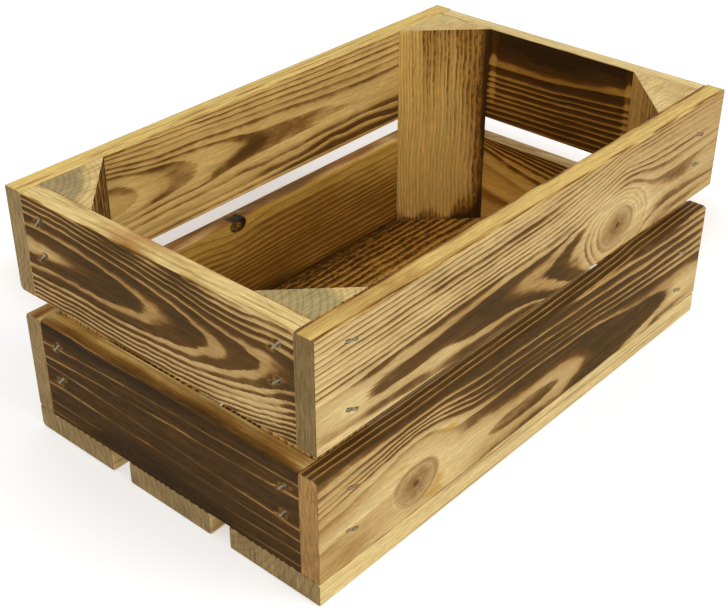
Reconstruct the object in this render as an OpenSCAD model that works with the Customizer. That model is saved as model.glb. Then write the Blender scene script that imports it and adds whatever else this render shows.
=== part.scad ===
/* [Crate] */
// Length of the crate along its long boards
crate_length = 400; // [300:5:600]
// Width of the crate across its ends
crate_width = 246; // [200:2:400]

/* [Boards] */
// Height of each side and end board
board_height = 71; // [50:1:110]
// Thickness of each side and end board
board_thickness = 14; // [10:0.5:20]
// Open gap between the lower and the upper boards
board_gap = 17; // [6:1:40]
// Radius of the long edges that the planer rounded
eased_radius = 3; // [1.5:0.1:4]
// Radius of the long edges that stayed nearly sharp
sharp_radius = 0.8; // [0.3:0.1:1.2]

/* [Floor] */
// Thickness of the floor slats
slat_thickness = 16; // [10:0.5:22]
// Open gap between neighbouring floor slats
slat_gap = 16.5; // [6:0.5:24]

/* [Corner posts] */
// Leg of the triangular posts, measured along each wall
post_leg = 48; // [40:1:60]
// Leg of the smaller post in the front left corner
small_post_leg = 41; // [38:1:60]

/* [Staples] */
// Width of a staple across its crown
staple_crown = 9; // [6:0.5:12]
// Thickness of the staple wire, in the direction of the legs
wire_thickness = 1.1; // [0.8:0.1:1.4]
// Width of the staple wire, across the crown
wire_width = 1.3; // [0.9:0.1:1.6]
// Depth of the crown below the face of the board
staple_sink = 0.3; // [0.1:0.1:1]
// Depth of the staple legs in the post behind a board
post_bite = 8; // [5:0.5:12]
// Depth of the staple legs in the board above a floor slat
board_bite = 12; // [6:0.5:20]

/* [Hidden] */
$fn = 48;

// Distances that follow from the sizes above
half_length = crate_length / 2;
half_width = crate_width / 2;
slat_count = 3;
slat_width = (crate_width - (slat_count - 1) * slat_gap) / slat_count;
slat_pitch = slat_width + slat_gap;
lower_z = slat_thickness;
upper_z = lower_z + board_height + board_gap;
post_height = 2 * board_height + board_gap;
end_span = crate_width - 2 * board_thickness;
wire_clearance = 0.6;
past_face = 1;

// Legs of a wall staple pass the board and stop short of those driven from the other wall
wall_reach = board_thickness + post_bite;
staple_inset = wall_reach + staple_crown / 2 + wire_clearance;
floor_reach = slat_thickness + board_bite;
tip_length = 1.4 * wire_thickness;
crown_corner = 0.35 * wire_thickness;

// Staple marks of each board: side of the board, height as a share of the board, tilt in degrees
front_upper_marks = [[-1, 0.82, -14], [-1, 0.22, -22], [1, 0.67, -18], [1, 0.36, -12]];
front_lower_marks = [[-1, 0.73, -16], [-1, 0.31, -20], [1, 0.63, -15], [1, 0.20, -18]];
back_upper_marks = [[-1, 0.76, -17], [-1, 0.30, -13], [1, 0.80, -20], [1, 0.27, -15]];
back_lower_marks = [[-1, 0.70, -14], [-1, 0.26, -21], [1, 0.74, -18], [1, 0.33, -12]];
left_upper_marks = [[1, 0.78, 50], [1, 0.45, 46], [-1, 0.80, 50], [-1, 0.49, 44]];
left_lower_marks = [[1, 0.79, 48], [1, 0.44, 50], [-1, 0.76, 46], [-1, 0.50, 52]];
right_upper_marks = [[1, 0.75, 47], [1, 0.41, 51], [-1, 0.81, 45], [-1, 0.46, 49]];
right_lower_marks = [[1, 0.80, 52], [1, 0.47, 46], [-1, 0.73, 48], [-1, 0.42, 44]];

// Colours of the scorched wood and the steel
scorched_dark = [0.40, 0.27, 0.15];
scorched_mid = [0.62, 0.46, 0.27];
scorched_light = [0.78, 0.64, 0.42];
steel = [0.62, 0.60, 0.57];

// Waste between a square corner at the origin and its rounding
module corner_waste(radius) {
    difference() {
        translate([-past_face, -past_face])
            square(radius + past_face);
        translate([radius, radius])
            circle(radius);
    }
}

// Section of a board with its own radius at each corner, anticlockwise from the lower left
module section(width, height, radii) {
    difference() {
        square([width, height]);
        corner_waste(radii[0]);
        translate([width, 0])
            mirror([1, 0])
                corner_waste(radii[1]);
        translate([width, height])
            rotate(180)
                corner_waste(radii[2]);
        translate([0, height])
            mirror([0, 1])
                corner_waste(radii[3]);
    }
}

// Board or slat that runs the whole length of the crate, its front lower edge at y and z
module long_board(y, z, width, height, radii) {
    translate([-half_length, y, z])
        rotate([90, 0, 90])
            linear_extrude(crate_length)
                section(width, height, radii);
}

// Board that closes an end, between the long boards
module end_board(x, z, radii) {
    translate([x, end_span / 2, z])
        rotate([90, 0, 0])
            linear_extrude(end_span)
                section(board_thickness, board_height, radii);
}

// Triangular post in the inner corner on the given side of each axis
module corner_post(side_x, side_y, leg) {
    corner_x = half_length - board_thickness;
    corner_y = half_width - board_thickness;
    translate([side_x * corner_x, side_y * corner_y, lower_z])
        linear_extrude(post_height)
            polygon([[0, 0], [-side_x * leg, 0], [0, -side_y * leg]]);
}

// Outline of a staple with its crown on top and two pointed legs
function staple_outline(reach) =
    let (
        outer = staple_crown / 2,
        inner = outer - wire_thickness,
        middle = (outer + inner) / 2
    )
    [
        [-outer + crown_corner, 0],
        [-outer, -crown_corner],
        [-outer, -reach + tip_length],
        [-middle, -reach],
        [-inner, -reach + tip_length],
        [-inner, -wire_thickness],
        [inner, -wire_thickness],
        [inner, -reach + tip_length],
        [middle, -reach],
        [outer, -reach + tip_length],
        [outer, -crown_corner],
        [outer - crown_corner, 0]
    ];

// Staple driven down from the face at zero height, its crown below the face
module staple(reach) {
    translate([0, wire_width / 2, -staple_sink])
        rotate([90, 0, 0])
            linear_extrude(wire_width)
                polygon(staple_outline(reach - staple_sink));
}

// Space that the staple and its sunk crown take out of the wood
module staple_slot(reach) {
    staple(reach);
    slot_height = staple_sink + wire_thickness + past_face;
    translate([-staple_crown / 2, -wire_width / 2, past_face - slot_height])
        cube([staple_crown, wire_width, slot_height]);
}

// Places children on the outer face of a wall, with their own z pointing outwards
module on_front(x, z, tilt) {
    translate([x, -half_width, z])
        rotate([90, 0, 0])
            rotate(tilt)
                children();
}

module on_back(x, z, tilt) {
    translate([x, half_width, z])
        rotate([90, 0, 180])
            rotate(tilt)
                children();
}

module on_left(y, z, tilt) {
    translate([-half_length, y, z])
        rotate([90, 0, -90])
            rotate(tilt)
                children();
}

module on_right(y, z, tilt) {
    translate([half_length, y, z])
        rotate([90, 0, 90])
            rotate(tilt)
                children();
}

module on_bottom(x, y, turn) {
    translate([x, y, 0])
        rotate([180, 0, 0])
            rotate(turn)
                children();
}

// Repeats children at the staple marks of one board, whose lower edge is at base
module at_front_marks(marks, base) {
    for (mark = marks)
        on_front(mark[0] * (half_length - staple_inset), base + mark[1] * board_height, mark[2])
            children();
}

module at_back_marks(marks, base) {
    for (mark = marks)
        on_back(mark[0] * (half_length - staple_inset), base + mark[1] * board_height, mark[2])
            children();
}

module at_left_marks(marks, base) {
    for (mark = marks)
        on_left(mark[0] * (half_width - staple_inset), base + mark[1] * board_height, mark[2])
            children();
}

module at_right_marks(marks, base) {
    for (mark = marks)
        on_right(mark[0] * (half_width - staple_inset), base + mark[1] * board_height, mark[2])
            children();
}

// Repeats children where the floor slats are stapled to the lower boards from below
module at_bottom_marks() {
    for (slat = [-1, 0, 1], side = [-1, 1], step = [-1, 1])
        on_bottom(side * (half_length - board_thickness / 2), slat * slat_pitch + step * slat_width / 5, 90)
            children();
    for (side_x = [-1, 1], side_y = [-1, 1])
        on_bottom(side_x * crate_length / 6, side_y * (half_width - board_thickness / 2), 0)
            children();
}

module front_slots() {
    at_front_marks(front_upper_marks, upper_z)
        staple_slot(wall_reach);
    at_front_marks(front_lower_marks, lower_z)
        staple_slot(wall_reach);
}

module back_slots() {
    at_back_marks(back_upper_marks, upper_z)
        staple_slot(wall_reach);
    at_back_marks(back_lower_marks, lower_z)
        staple_slot(wall_reach);
}

module left_slots() {
    at_left_marks(left_upper_marks, upper_z)
        staple_slot(wall_reach);
    at_left_marks(left_lower_marks, lower_z)
        staple_slot(wall_reach);
}

module right_slots() {
    at_right_marks(right_upper_marks, upper_z)
        staple_slot(wall_reach);
    at_right_marks(right_lower_marks, lower_z)
        staple_slot(wall_reach);
}

module bottom_slots() {
    at_bottom_marks()
        staple_slot(floor_reach);
}

// Upper front board, rounded on its inner face
module front_upper_board() {
    color(scorched_light)
        difference() {
            long_board(-half_width, upper_z, board_thickness, board_height,
                [sharp_radius, eased_radius, eased_radius / 2, sharp_radius]);
            front_slots();
        }
}

// Lower front board, rounded at its outer top edge
module front_lower_board() {
    color(scorched_mid)
        difference() {
            long_board(-half_width, lower_z, board_thickness, board_height,
                [sharp_radius, sharp_radius, sharp_radius, eased_radius]);
            front_slots();
            bottom_slots();
        }
}

// Upper back board, rounded at its outer bottom edge
module back_upper_board() {
    color(scorched_light)
        difference() {
            long_board(half_width - board_thickness, upper_z, board_thickness, board_height,
                [sharp_radius, eased_radius, sharp_radius, sharp_radius]);
            back_slots();
        }
}

// Lower back board, rounded along its outer face
module back_lower_board() {
    color(scorched_light)
        difference() {
            long_board(half_width - board_thickness, lower_z, board_thickness, board_height,
                [sharp_radius, eased_radius, eased_radius, sharp_radius]);
            back_slots();
            bottom_slots();
        }
}

// Upper left board, rounded at its outer top edge
module left_upper_board() {
    color(scorched_dark)
        difference() {
            end_board(-half_length, upper_z, [sharp_radius, sharp_radius, sharp_radius, eased_radius]);
            left_slots();
        }
}

// Lower left board, rounded at its outer top edge
module left_lower_board() {
    color(scorched_dark)
        difference() {
            end_board(-half_length, lower_z, [sharp_radius, sharp_radius, sharp_radius, eased_radius]);
            left_slots();
            bottom_slots();
        }
}

// Upper right board, rounded at its outer top edge
module right_upper_board() {
    color(scorched_dark)
        difference() {
            end_board(half_length - board_thickness, upper_z,
                [sharp_radius, sharp_radius, eased_radius, sharp_radius]);
            right_slots();
        }
}

// Lower right board, rounded at its outer top edge
module right_lower_board() {
    color(scorched_mid)
        difference() {
            end_board(half_length - board_thickness, lower_z,
                [sharp_radius, sharp_radius, eased_radius, sharp_radius]);
            right_slots();
            bottom_slots();
        }
}

// One floor slat, counted from the middle of the crate, with the radii of its section
module floor_slat(index, radii) {
    difference() {
        long_board(index * slat_pitch - slat_width / 2, 0, slat_width, slat_thickness, radii);
        bottom_slots();
    }
}

module front_slat() {
    color(scorched_mid)
        floor_slat(-1, [sharp_radius, eased_radius, sharp_radius, sharp_radius]);
}

module middle_slat() {
    color(scorched_dark)
        floor_slat(0, [sharp_radius, eased_radius, sharp_radius, sharp_radius]);
}

module back_slat() {
    color(scorched_mid)
        floor_slat(1, [sharp_radius, eased_radius, sharp_radius, eased_radius]);
}

// Smaller post in the corner nearest the viewer
module front_left_post() {
    color(scorched_mid)
        difference() {
            corner_post(-1, -1, small_post_leg);
            front_slots();
            left_slots();
        }
}

module front_right_post() {
    color(scorched_light)
        difference() {
            corner_post(1, -1, post_leg);
            front_slots();
            right_slots();
        }
}

module back_left_post() {
    color(scorched_mid)
        difference() {
            corner_post(-1, 1, post_leg);
            back_slots();
            left_slots();
        }
}

module back_right_post() {
    color(scorched_mid)
        difference() {
            corner_post(1, 1, post_leg);
            back_slots();
            right_slots();
        }
}

// Steel staples, one set for each face of the crate
module front_staples() {
    color(steel) {
        at_front_marks(front_upper_marks, upper_z)
            staple(wall_reach);
        at_front_marks(front_lower_marks, lower_z)
            staple(wall_reach);
    }
}

module back_staples() {
    color(steel) {
        at_back_marks(back_upper_marks, upper_z)
            staple(wall_reach);
        at_back_marks(back_lower_marks, lower_z)
            staple(wall_reach);
    }
}

module left_staples() {
    color(steel) {
        at_left_marks(left_upper_marks, upper_z)
            staple(wall_reach);
        at_left_marks(left_lower_marks, lower_z)
            staple(wall_reach);
    }
}

module right_staples() {
    color(steel) {
        at_right_marks(right_upper_marks, upper_z)
            staple(wall_reach);
        at_right_marks(right_lower_marks, lower_z)
            staple(wall_reach);
    }
}

module bottom_staples() {
    color(steel)
        at_bottom_marks()
            staple(floor_reach);
}

front_upper_board();
front_lower_board();
back_upper_board();
back_lower_board();
left_upper_board();
left_lower_board();
right_upper_board();
right_lower_board();
front_slat();
middle_slat();
back_slat();
front_left_post();
front_right_post();
back_left_post();
back_right_post();
front_staples();
back_staples();
left_staples();
right_staples();
bottom_staples();
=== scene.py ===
"""Open crate of scorched and brushed pine boards, stapled to triangular corner posts."""
import math

import bmesh
import bpy
import numpy as np
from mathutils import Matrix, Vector


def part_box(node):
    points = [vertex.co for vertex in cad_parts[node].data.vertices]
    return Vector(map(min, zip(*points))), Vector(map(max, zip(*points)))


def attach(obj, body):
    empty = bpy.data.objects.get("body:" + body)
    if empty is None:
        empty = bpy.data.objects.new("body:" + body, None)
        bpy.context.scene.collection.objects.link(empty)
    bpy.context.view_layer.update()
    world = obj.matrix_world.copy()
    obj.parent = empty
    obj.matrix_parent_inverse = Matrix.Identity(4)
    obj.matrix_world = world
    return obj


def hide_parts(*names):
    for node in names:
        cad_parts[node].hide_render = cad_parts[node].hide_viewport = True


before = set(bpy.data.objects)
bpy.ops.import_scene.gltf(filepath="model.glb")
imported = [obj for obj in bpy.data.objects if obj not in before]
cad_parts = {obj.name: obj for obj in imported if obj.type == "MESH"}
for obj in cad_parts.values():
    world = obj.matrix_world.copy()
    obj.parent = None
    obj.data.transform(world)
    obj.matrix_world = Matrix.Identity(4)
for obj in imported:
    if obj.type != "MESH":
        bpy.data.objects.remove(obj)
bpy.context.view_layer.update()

bl_info = {
    "name": "Scorched Pine Crate",
    "version": (1, 0, 0),
    "blender": (4, 5, 0),
    "location": "3D View > Sidebar > Crate",
    "description": "Builds the boards, posts, floor slats and staples of a scorched pine crate",
    "category": "Add Mesh",
}

MM = 0.001


def srgb(red, green, blue):
    """Linear colour of a tone read as it looks on a screen."""
    return tuple(c / 12.92 if c <= 0.04045 else ((c + 0.055) / 1.055) ** 2.4 for c in (red, green, blue))


# Growth and scorching of each board, in millimetres on the face that shows its figure: u along the grain
# from the left or the back, v across the face from below or from the front, w into the wood.
# lines are ring lines as (ring, [(u, v), ...]). The rings between them follow smoothly, and slope is the
# share of a ring that a millimetre of depth adds. Boards without lines have a pith, with its place across
# the face as centre and its distance from the face as depth, both as (u, place), and the radii of their
# rings, as a list or as (first, narrowest, widest, seed). toward is 1 where that distance grows into the
# wood, and drift is how far the pith wanders.
# scorch is how hard the flame hit places, as (u, v, amount), from 0 to 1 and above 1 where the light bands
# are charred too; along the foot of the back lower board it also paints the shade where the board meets the
# floor, as black char. other is the scorching of the face behind, edge that of the narrow edges, as one
# amount or as (u, w, amount), and rims are dark lines along those edges, as (w, half width, amount).
# knots are (u, v, half length, half width), resin streaks too, and bark is how dark the ring round each knot
# is. browned is where the light bands are brown, as (u, v, share), bare are places along u of paler stripes
# across the board, and thin is a power that narrows the light bands.
# tint, edge_tint and end warm or dull the tones of the faces, narrow edges and sawn ends; on boards whose
# figure is inside the crate the tint holds the board's own tone together with painted shade. contrast is the
# strength of the bands, crust that of light and dark flakes over them. inner marks those boards, so that
# their outer side, which the painted shade should not reach, is toned for brighter light. seed starts the
# random draws.
WOOD = {
    "front_upper_board": {
        "lines": [
            (1, [(38, 19), (39, 22), (43, 23), (60, 24), (88, 25.4), (103, 26.5), (115, 28),
             (130, 29.2), (150, 31), (170, 32), (190, 32.6), (205, 33.2), (215, 34), (225, 35.5),
             (240, 38.5), (260, 43.5), (280, 46.5), (292, 45.5), (302, 42), (312, 37.5), (325, 35.5),
             (345, 35), (400, 37)]),
            (1, [(38, 19), (39, 15.5), (43, 14), (60, 13.2), (75, 13.2), (88, 14.3), (96, 14.7),
             (105, 13.7), (113, 12.4), (120, 10.9), (127, 9.4), (140, 8.9), (165, 8.6), (175, 7.2),
             (185, 5.2), (195, 2.5), (203, 0)]),
            (0.25, [(163.5, 20.5), (168, 23.5), (175, 25), (185, 26.5), (195, 27.5), (205, 29),
             (213, 31), (222, 33.3), (240, 36)]),
            (0.25, [(163.5, 20.5), (168, 17.5), (175, 15), (185, 11.5), (195, 8), (205, 4), (213, 1.5),
             (218, 0)]),
            (0, [(192, 18.5), (198, 21), (205, 22.4), (212, 25), (220, 29), (228, 31.2), (242, 35),
             (258, 40.5), (277, 43), (291, 41), (302, 35), (310, 27), (313, 20), (309, 11), (301, 3),
             (298, 0)]),
            (0, [(192, 18.5), (200, 14), (210, 9), (217, 5), (224, 2), (229, 0)]),
            (-0.6, [(225, 16), (228, 20.5), (233, 24), (241, 30)]),
            (-0.6, [(225, 16), (228, 10), (235, 6), (242, 3), (248, 0)]),
            (-1, [(240, 19), (242, 26), (247, 32), (256, 37), (277, 40.5), (293, 37), (303, 29),
             (307, 20), (303, 11), (296, 3)]),
            (-1, [(240, 19), (241, 14), (244, 8), (248, 3.5), (252, 0)]),
            (-2, [(246, 19), (248, 25), (253, 31), (262, 35.5), (277, 38), (292, 34), (300, 27),
             (303, 19), (299, 10), (292, 3)]),
            (-2, [(246, 19), (247, 13), (250, 7), (254, 3), (258, 0)]),
            (-3, [(252.5, 19), (254, 25), (260, 31), (268, 34), (277, 35), (290, 31.5), (297, 25),
             (299, 19), (296, 12), (289, 6), (277, 3), (266, 3.5), (258, 8), (253.5, 14), (252.5, 19)]),
            (-4, [(277, 19)]),
            (1, [(305, 0), (312, 5), (322, 9.5), (335, 11.5), (360, 12), (400, 12)]),
            (0.6, [(319, 11), (325, 15.5), (335, 17.6), (350, 17.8), (365, 16.5), (400, 14.5)]),
            (0.25, [(325, 21.5), (345, 21.5), (400, 22.5)]),
            (0.62, [(312, 33.5), (322, 29.5), (332, 26.5), (345, 24.5), (358, 24.5), (368, 27.5),
             (380, 31)]),
            (2, [(0, 30.5), (30, 31.5), (60, 33.5), (100, 36), (140, 37.5), (200, 39), (225, 41),
             (245, 44), (262, 48), (280, 50.5), (292, 50.5), (305, 48), (320, 44.5), (340, 43.5),
             (370, 44), (400, 45)]),
            (2, [(0, 5), (40, 3.8), (60, 2.6), (80, 1.2), (100, 0), (130, -1.5), (165, -3), (190, -6)]),
            (2, [(335, 0), (345, 2.5), (370, 4), (400, 5)]),
            (3, [(0, 36), (60, 37.5), (100, 39.5), (150, 41), (200, 42.3), (230, 45), (255, 50),
             (280, 54.5), (320, 49.5), (400, 50)]),
            (4, [(0, 40), (30, 40), (100, 42.3), (200, 45.7), (240, 50), (280, 57.5), (320, 54),
             (400, 54.5)]),
            (5, [(0, 44), (30, 44), (100, 45.7), (150, 46.8), (200, 48.7), (240, 53.5), (280, 60.5),
             (400, 59)]),
            (6, [(0, 47.5), (100, 49), (200, 52), (240, 57), (280, 64), (400, 63.5)]),
            (7, [(0, 50.5), (100, 52.5), (200, 55.2), (240, 60), (280, 67), (400, 67)]),
            (8, [(0, 54.7), (60, 56), (100, 57.7), (150, 58.3), (180, 59.6), (215, 61.2), (240, 63.2),
             (262, 66.2), (280, 69), (300, 69.8), (400, 69.8)]),
            (9, [(0, 58.3), (100, 61), (180, 63.5), (240, 67), (270, 70.5)]),
            (10, [(0, 62.3), (100, 65), (180, 66.5), (230, 69.5)]),
            (11, [(0, 65.5), (100, 68), (180, 69.7)]),
        ],
        "scorch": [
            (0, 10, 0.1), (0, 35, 0.2), (0, 60, 0.16), (22, 20, 0.0), (22, 45, 0.2), (22, 30, 0.3),
            (45, 18, 0.52), (80, 20, 0.62), (110, 20, 0.88), (150, 20, 1.04), (150, 27, 0.98),
            (185, 30, 0.84), (200, 3, 0.92), (40, 31, 0.5), (100, 33, 0.74), (160, 35, 0.58),
            (220, 38, 0.36), (100, 38, 0.48), (60, 44, 0.36), (100, 48, 0.28), (150, 45, 0.27),
            (180, 48, 0.22), (20, 54, 0.3), (60, 55, 0.5), (100, 56, 0.62), (140, 57, 0.62),
            (180, 58, 0.56), (205, 59.5, 0.4), (240, 62, 0.2), (260, 68, 0.3), (320, 69, 0.32),
            (60, 65, 0.26), (100, 67, 0.36), (140, 64, 0.16), (180, 66, 0.2), (240, 50, 0.1),
            (300, 60, 0.03), (360, 58, 0.02), (180, 22, 0.9), (210, 18, 0.92), (235, 29, 0.52),
            (238, 4, 0.66), (248, 6, 0.42), (243, 19, 0.38), (250, 20, 0.3), (262, 19, 0.34),
            (277, 19, 0.36), (294, 19, 0.04), (277, 37, 0.0), (255, 33, 0.1), (303, 10, 0.02),
            (300, 22, 0.0), (312, 20, 0.0), (303, 33, 0.05), (292, 30, 0.0), (318, 34, 0.36),
            (335, 31, 0.4), (355, 31, 0.44), (374, 31, 0.16), (390, 30, 0.0), (290, 49, 0.4),
            (320, 44, 0.42), (350, 42, 0.4), (388, 42, 0.16), (328, 13, 0.44), (355, 14, 0.42),
            (385, 14, 0.26), (400, 10, 0.14), (370, 3, 0.38), (318, 3, 0.34), (300, 2, 0.1),
            (50, 6, 0.44), (80, 6, 0.6), (150, 3, 0.74), (20, 8, 0.16), (60, 1, 0.3), (97, 11, 0.4),
            (130, 6, 0.6),
        ],
        "slope": -0.26, "knots": [(277, 19, 18, 12.3)], "other": 0.45, "seed": 3,
        "browned": [
            (0, 20, 0), (0, 60, 0.05), (100, 50, 0.05), (200, 50, 0.15), (180, 22, 0), (250, 62, 0.35),
            (277, 36, 0.1), (312, 20, 0), (300, 66, 0.65), (340, 55, 0.5), (400, 66, 0.8),
            (392, 48, 0.6), (385, 30, 0.45), (400, 30, 0.6), (330, 22, 0.3), (300, 3, 0.5),
            (345, 10, 0.4), (400, 3, 0.6),
        ],
        "edge": [
            (0, 2, 0.1), (200, 2, 0.06), (400, 2, 0.08), (0, 6, 0.12), (62, 6, 0.3), (95, 6, 0.12),
            (200, 6, 0.1), (300, 6, 0.08), (400, 6, 0.1), (0, 10, 0.18), (62, 10, 0.4), (95, 10, 0.18),
            (200, 10, 0.16), (300, 10, 0.14), (400, 10, 0.14),
        ],
        "rims": [(0.9, 0.6, 0.75), (13.0, 0.9, 0.75)], "edge_tint": (0.96, 0.88, 0.62),
        "end": (0.74, 0.7, 0.62), "tint": (1, 1, 0.97),
    },
    "front_lower_board": {
        "lines": [
            (1, [(150, 15), (155, 18.5), (170, 20.5), (190, 21), (210, 20), (222, 17.5), (226, 15),
             (220, 12), (205, 10.2), (185, 9.7), (165, 10.5), (153, 12.5), (150, 15)]),
            (0.66, [(165, 15), (210, 15)]),
            (1.35, [(125, 28), (140, 28), (170, 27.5), (200, 27.5), (225, 26), (240, 23), (249, 18),
             (247, 13.5), (238, 9.5), (225, 6), (200, 4.2), (165, 3.2), (140, 2.6), (130, 1.5)]),
            (1.1, [(125, 15), (125, 20)]),
            (2, [(0, 38.5), (20, 40.5), (45, 45), (65, 50), (85, 52), (100, 49), (110, 44), (118, 40.5),
             (150, 39.8), (200, 40.2), (240, 39), (262, 37.7), (280, 35), (300, 31.5), (320, 29),
             (340, 27), (352, 24.5), (360, 19.5), (356, 13), (342, 8.5), (322, 5), (305, 1.5), (300, 0)]),
            (2.2, [(372, 18)]),
            (2.3, [(385, 18), (400, 18)]),
            (3, [(0, 46.5), (25, 49.5), (45, 52.8), (70, 56.3), (90, 56.8), (110, 53), (125, 49.5),
             (140, 47.3), (200, 45.8), (260, 44), (300, 41), (340, 38.5), (400, 36)]),
            (3, [(345, 0), (370, 1.5), (400, 1.5)]),
            (4, [(0, 51), (25, 53), (45, 55.5), (70, 59), (90, 59.3), (110, 56.7), (125, 53.3),
             (140, 51.2), (200, 50), (260, 48.3), (300, 45.5), (340, 43.5), (400, 41.5)]),
            (5, [(0, 55), (25, 57), (45, 59.2), (70, 62), (100, 61.5), (120, 58.3), (140, 56.3),
             (200, 55.4), (260, 53), (300, 50.5), (340, 49.3), (400, 47.7)]),
            (6, [(0, 60.5), (25, 62), (40, 63.8), (60, 65.2), (85, 66), (105, 65.8), (120, 64.4),
             (145, 62.9), (200, 62), (260, 60.3), (300, 58), (320, 56), (360, 57), (400, 55)]),
            (7, [(0, 69.5), (20, 70), (60, 71), (100, 71), (135, 70.5), (160, 69.5), (220, 69.5),
             (300, 66.5), (340, 64), (400, 62.5)]),
            (8, [(320, 70.5), (400, 68)]),
        ],
        "scorch": [
            (0, 67, 0.52), (20, 66, 0.42), (40, 67, 0.46), (60, 68, 0.6), (90, 68, 0.8),
            (115, 68, 0.84), (0, 62, 0.38), (20, 60, 0.32), (60, 62, 0.56), (90, 61, 0.6),
            (20, 52, 0.24), (60, 56, 0.56), (90, 54, 0.62), (115, 55, 0.74), (105, 58, 0.6),
            (150, 60, 0.95), (200, 60, 0.95), (260, 58, 0.98), (300, 56, 0.95), (340, 55, 0.8),
            (380, 54, 0.6), (400, 54, 0.42), (150, 52, 1.0), (200, 51, 1.1), (260, 50, 0.98),
            (320, 47, 0.88), (350, 46, 0.72), (365, 45, 0.5), (400, 45, 0.34), (135, 47, 0.9),
            (200, 46, 1.14), (160, 47, 1.1), (300, 42, 0.92), (350, 38, 0.62), (400, 33, 0.58),
            (378, 29, 0.54), (395, 27, 0.5), (124, 36, 0.48), (134, 30, 0.62), (150, 35, 0.66),
            (160, 30, 0.8), (200, 36, 0.9), (200, 29, 0.88), (240, 32, 0.98), (280, 20, 1.1),
            (280, 32, 1.02), (320, 18, 1.12), (345, 18, 1.05), (356, 18, 0.86), (374, 20, 0.22),
            (374, 12, 0.1), (395, 18, 0.04), (130, 20, 0.04), (150, 25, 0.44), (200, 25, 0.46),
            (240, 17, 0.42), (205, 15, 0.56), (175, 15, 0.52), (156, 15, 0.4), (150, 1, 0.74),
            (200, 1, 0.84), (228, 5, 0.55), (260, 3, 1.02), (120, 2, 0.08), (325, 2, 0.28),
            (380, 3, 0.12), (82, 20, 0.22), (60, 20, 0.0), (45, 30, 0.0), (82, 45, 0.02),
            (110, 20, 0.0), (110, 40, 0.1), (20, 35, 0.16), (20, 25, 0.0), (28, 8, 0.46), (10, 3, 0.4),
            (60, 3, 0.0), (0, 10, 0.22), (0, 30, 0.14), (0, 50, 0.22), (300, 68, 0.8), (360, 66, 0.6),
            (400, 66, 0.48), (200, 68, 1.05),
        ],
        "slope": -0.24, "knots": [(81, 20.5, 19, 15)], "other": 0.45, "edge": 0.92, "seed": 11,
        "browned": [
            (0, 60, 0.4), (0, 14, 0.45), (28, 9, 0.95), (12, 4, 0.8), (58, 6, 0.05), (20, 27, 0.05),
            (15, 35, 0.6), (45, 20, 0), (82, 44, 0), (110, 20, 0), (140, 20, 0.1), (140, 12, 0.25),
            (200, 25, 0.5), (200, 7, 0.2), (380, 15, 0.05), (400, 40, 0.5), (300, 50, 0.3),
        ],
        "resin": [(97, 5, 12, 4.5), (103, 12, 6, 4), (68, 39, 7, 2.2), (112, 43, 9, 4)],
        "end": (1.25, 1.02, 0.8), "tint": (1, 0.99, 0.95),
    },
    "back_upper_board": {
        "lines": [
            (0.5, [(0, 38), (62, 38)]),
            (1, [(0, 49), (62, 48), (75, 46), (84, 40), (85, 34), (78, 29), (62, 27), (0, 25)]),
            (1.45, [(80, 49.5), (95, 46), (104, 40), (108, 34), (104, 29), (90, 27)]),
            (2, [(0, 58), (62, 56), (90, 50.5), (115, 47.5), (130, 42), (136, 35), (130, 28.5),
             (115, 25.5), (90, 24), (62, 22), (0, 20)]),
            (2.55, [(120, 49), (150, 45.5), (170, 42), (182, 37), (172, 35), (160, 32), (148, 28),
             (138, 22.5)]),
            (2.8, [(205, 34)]),
            (2.95, [(245, 34)]),
            (3, [(0, 62), (62, 59), (100, 52), (140, 49.5), (165, 47), (185, 43), (200, 41.5),
             (230, 40.5), (255, 39)]),
            (3, [(0, 15), (62, 18), (100, 20), (130, 20.5), (145, 21.5), (165, 24), (200, 25.5),
             (240, 27), (262, 29)]),
            (3.1, [(300, 33), (400, 33)]),
            (3.3, [(300, 40), (400, 41)]),
            (3.4, [(280, 22), (400, 21.5)]),
            (4, [(0, 66), (62, 62), (100, 56), (140, 55), (180, 52), (220, 50.5), (260, 47), (300, 45),
             (400, 46)]),
            (4, [(0, 10), (62, 12.5), (120, 14.5), (160, 15), (175, 16), (200, 14), (215, 15.5),
             (240, 16), (255, 18.5), (268, 16), (285, 18.5), (300, 18.5), (340, 15.5), (400, 15)]),
            (5, [(0, 69), (62, 65), (100, 61), (140, 60), (180, 57), (220, 55), (260, 53), (300, 51.5),
             (400, 52)]),
            (5, [(0, 4), (62, 6), (130, 6.5), (180, 6.5), (240, 8), (265, 11.5), (275, 9.5), (290, 11),
             (310, 10.5), (340, 6), (400, 6)]),
            (6, [(0, 72), (62, 68), (100, 64.5), (180, 61.5), (220, 60), (300, 57), (400, 57.5)]),
            (6, [(62, 1), (130, 2), (240, 3), (340, 2), (400, 2)]),
            (7, [(62, 70.5), (140, 67), (180, 65.5), (260, 63), (400, 62)]),
            (8, [(100, 70.5), (180, 68.8), (260, 67), (400, 66)]),
            (9, [(180, 72), (260, 70.5), (400, 69.5)]),
        ],
        "scorch": [
            (0, 42, 0.3), (74, 42, 0.26), (74, 30, 0.0), (86, 34, 0.05), (80, 51, 0.48),
            (100, 48, 0.56), (118, 36, 0.37), (96, 26, 0.5), (130, 32, 0.35), (106, 36, 0.42),
            (150, 36, 0.06), (174, 36, 0.36), (188, 34, 0.72), (165, 28, 0.54), (205, 33, 0.4),
            (222, 33, 0.22), (250, 33, 0.08), (290, 33, 0.24), (150, 47, 0.34), (170, 44, 0.42),
            (178, 42, 0.5), (120, 50, 0.4), (200, 45, 0.32), (260, 46, 0.42), (320, 44, 0.4),
            (70, 56, 0.5), (70, 64, 0.42), (120, 62, 0.26), (200, 60, 0.3), (190, 51, 0.42),
            (260, 58, 0.28), (320, 60, 0.32), (75, 20, 0.02), (75, 10, 0.08), (110, 20, 0.14),
            (160, 19, 0.08), (200, 19, 0.06), (240, 22, 0.16), (330, 22, 0.46), (120, 12, 0.3),
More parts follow.
